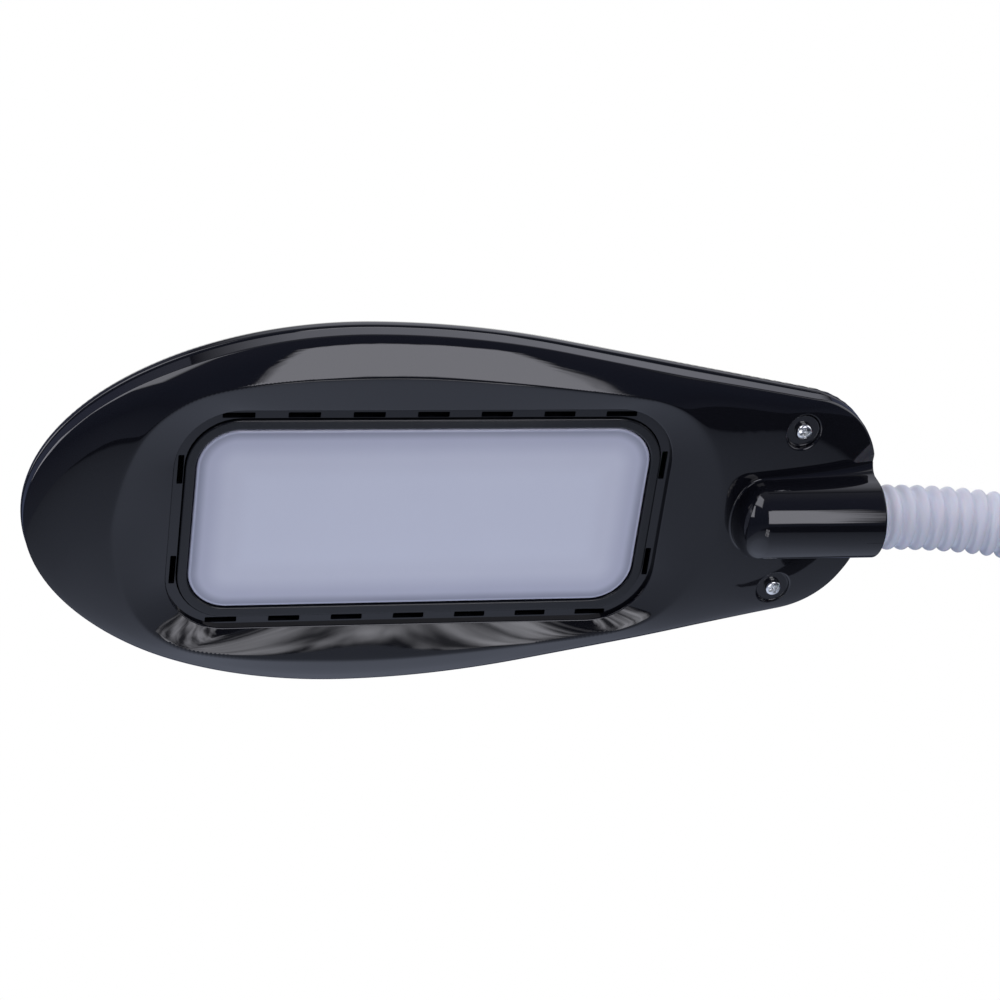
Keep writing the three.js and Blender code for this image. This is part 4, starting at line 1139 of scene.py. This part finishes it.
for build in (front_shell, rear_cover, panel_frame, diffuser, shell_screws, power_button, neck, mount_plate,
              neck_socket, foot_screws, dc_inlet):
    build()
finish_cad_nodes()


# ---------------------------------------------------------------- studio
FLOOR_Z, FLOOR_R = -0.0365, 0.62
HEAD_MIDDLE = Vector((-0.255, 0.05, 0.245))


def split_by_ray(tree, seen, mirrored, output):
    """The camera sees one shader directly; every other ray, such as a reflection, meets the other."""
    path, join = add_node(tree.nodes, "LightPath"), add_node(tree.nodes, "MixShader")
    wire(tree.links, (path, "Is Camera Ray", join, "Fac"), (mirrored, 0, join, 1), (seen, 0, join, 2),
         (join, "Shader", tree.nodes[output], "Surface"))


def floor():
    """Pale to look at; the lamp mirrors it as a pool of light that fades away from the head."""
    made = varied("studio_floor", (0.8, 0.79, 0.77), (0.84, 0.83, 0.81), (0.55, 0.65), 3)
    nodes, links = made.node_tree.nodes, made.node_tree.links
    place = add_node(nodes, "TexCoord")
    middle = add_node(nodes, "VectorMath", {"operation": "DISTANCE"})
    middle.inputs[1].default_value = (HEAD_MIDDLE.x, HEAD_MIDDLE.y + 0.04, FLOOR_Z)
    stops = ((0.0, 0.97), (0.1, 0.88), (0.17, 0.76), (0.23, 0.55), (0.28, 0.47), (0.44, 0.26), (0.46, 0.03))
    ramp = add_ramp(nodes, [(at, (0.84 * level, 0.92 * level, 1.16 * level)) for at, level in stops])
    pool = add_node(nodes, "Emission")
    wire(links, (place, "Object", middle, 0), (middle, "Value", ramp, "Fac"), (ramp, "Color", pool, "Color"))
    split_by_ray(made.node_tree, nodes["Principled BSDF"], pool, "Material Output")
    rim = at_height(circle(144) * FLOOR_R / MM, FLOOR_Z / MM)
    points, faces = strip([rim - (0, 0, 1), rim - (0, 0, 0.4), rim * (0.999, 0.999, 1)])
    faces.append(list(range(len(points) - len(rim), len(points))))
    mesh("studio_floor", points, oriented(points, faces), made, sharp=30)


def card_material(name, radiance, soft, ragged, blotches, color):
    """Light from a card: full in the middle, fading or fraying towards its edges."""
    made = bpy.data.materials.new(name)
    made.use_nodes = True
    nodes, links = made.node_tree.nodes, made.node_tree.links
    nodes.remove(nodes["Principled BSDF"])
    emission = add_node(nodes, "Emission", Color=(*color, 1))
    place, split = add_node(nodes, "TexCoord"), add_node(nodes, "SeparateXYZ")
    wire(links, (place, "Object", split, "Vector"))

    def worked_out(operation, a, b):
        node = add_node(nodes, "Math", {"operation": operation})
        for socket, value in zip(node.inputs, (a, b)):
            if isinstance(value, (int, float)):
                socket.default_value = value
            else:
                links.new(value, socket)
        return node.outputs["Value"]

    u, v = (worked_out("ABSOLUTE", split.outputs[axis], 0) for axis in "XY")
    inside_by = worked_out("SUBTRACT", 1, worked_out("MAXIMUM", u, v))
    _, fray = noise_value(nodes, links, 7, -ragged, ragged, detail=6)
    level = add_node(nodes, "MapRange", From_Max=soft)
    links.new(worked_out("ADD", inside_by, fray.outputs["Result"]), level.inputs["Value"])
    darkest, brightest = 1 - 2.6 * blotches, 1 + 1.4 * blotches
    _, cloud = noise_value(nodes, links, 1.7, darkest, brightest, detail=5, stretch=(1, 2.2, 1))
    clear = worked_out("MINIMUM", worked_out("MAXIMUM", cloud.outputs["Result"], 0.05), 1)
    strength = worked_out("MULTIPLY", worked_out("MULTIPLY", level.outputs["Result"], clear), radiance)
    links.new(strength, emission.inputs["Strength"])
    wire(links, (emission, "Emission", nodes["Material Output"], "Surface"))
    return made


def card(name, azimuth, elevation, distance, size, radiance, soft=0.15, ragged=0.0, blotches=0.0,
         color=(1, 1, 1), lights=True):
    """A softbox in a direction from the head; azimuth 0 is towards -Y. It isn't seen directly."""
    a, e = math.radians(azimuth), math.radians(elevation)
    away = Vector((math.cos(e) * math.sin(a), -math.cos(e) * math.cos(a), math.sin(e)))
    data = bpy.data.meshes.new(name)
    data.from_pydata([(-1, -1, 0), (1, -1, 0), (1, 1, 0), (-1, 1, 0)], [], [(0, 1, 2, 3)])
    data.materials.append(card_material(name, radiance, soft, ragged, blotches, color))
    piece = bpy.data.objects.new(name, data)
    bpy.context.scene.collection.objects.link(piece)
    turn = away.to_track_quat("Z", "Y").to_matrix().to_4x4()
    spread = [distance * math.tan(math.radians(s / 2)) for s in size]
    place = Matrix.Translation(HEAD_MIDDLE + away * distance)
    piece.matrix_world = place @ turn @ Matrix.Diagonal((*spread, 1, 1))
    piece.visible_camera = False
    piece.visible_shadow = False
    piece.visible_diffuse = lights


def world():
    """White for the camera; for everything else a dim room, brighter below the horizon."""
    made = bpy.data.worlds.new("studio")
    bpy.context.scene.world = made
    made.use_nodes = True
    nodes, background = made.node_tree.nodes, made.node_tree.nodes["Background"]
    seen = add_node(nodes, "Background", Color=(1, 1, 1, 1))
    place, split = add_node(nodes, "TexCoord"), add_node(nodes, "SeparateXYZ")
    spread = add_node(nodes, "MapRange", From_Min=-1)
    ramp = add_ramp(nodes, (
        (0.0, (0.9, 0.95, 1.1)), (0.15, (0.2, 0.22, 0.3)), (0.4, (0.07, 0.08, 0.13)),
        (0.55, (0.08, 0.095, 0.16)), (0.85, (0.12, 0.13, 0.2)), (1.0, (0.3, 0.31, 0.36)),
    ))
    wire(made.node_tree.links, (place, "Generated", split, "Vector"), (split, "Z", spread, "Value"),
         (spread, "Result", ramp, "Fac"), (ramp, "Color", background, "Color"))
    split_by_ray(made.node_tree, seen, background, "World Output")


def studio():
    floor()
    world()
    bpy.context.scene.view_settings.view_transform = "Standard"
    card("front_softbox", 14, 3, 1.6, (27, 36), 3.9, soft=0.14, ragged=0.14, color=(0.98, 0.98, 1.08))
    card("cap_softbox", -97, 17, 1.6, (46, 28), 3.6, soft=0.1, color=(0.98, 0.98, 1.08))
    card("key_softbox", -66, 48, 1.2, (56, 34), 3.2, soft=0.2, color=(0.97, 0.98, 1.08))
    card("low_card", 15.5, -40, 0.3, (21, 20), 4.6, soft=0.12, ragged=0.16, blotches=0.9,
         color=(0.98, 0.98, 1.06), lights=False)
    card("side_softbox", 78, 22, 0.9, (50, 50), 1.8, soft=0.4, color=(0.97, 0.98, 1.08))
    card("top_softbox", 140, 58, 1.6, (62, 56), 0.95, soft=0.5, color=(0.95, 0.97, 1.1))
    card("back_softbox", 172, 24, 1.6, (48, 34), 1.5, soft=0.35)


studio()
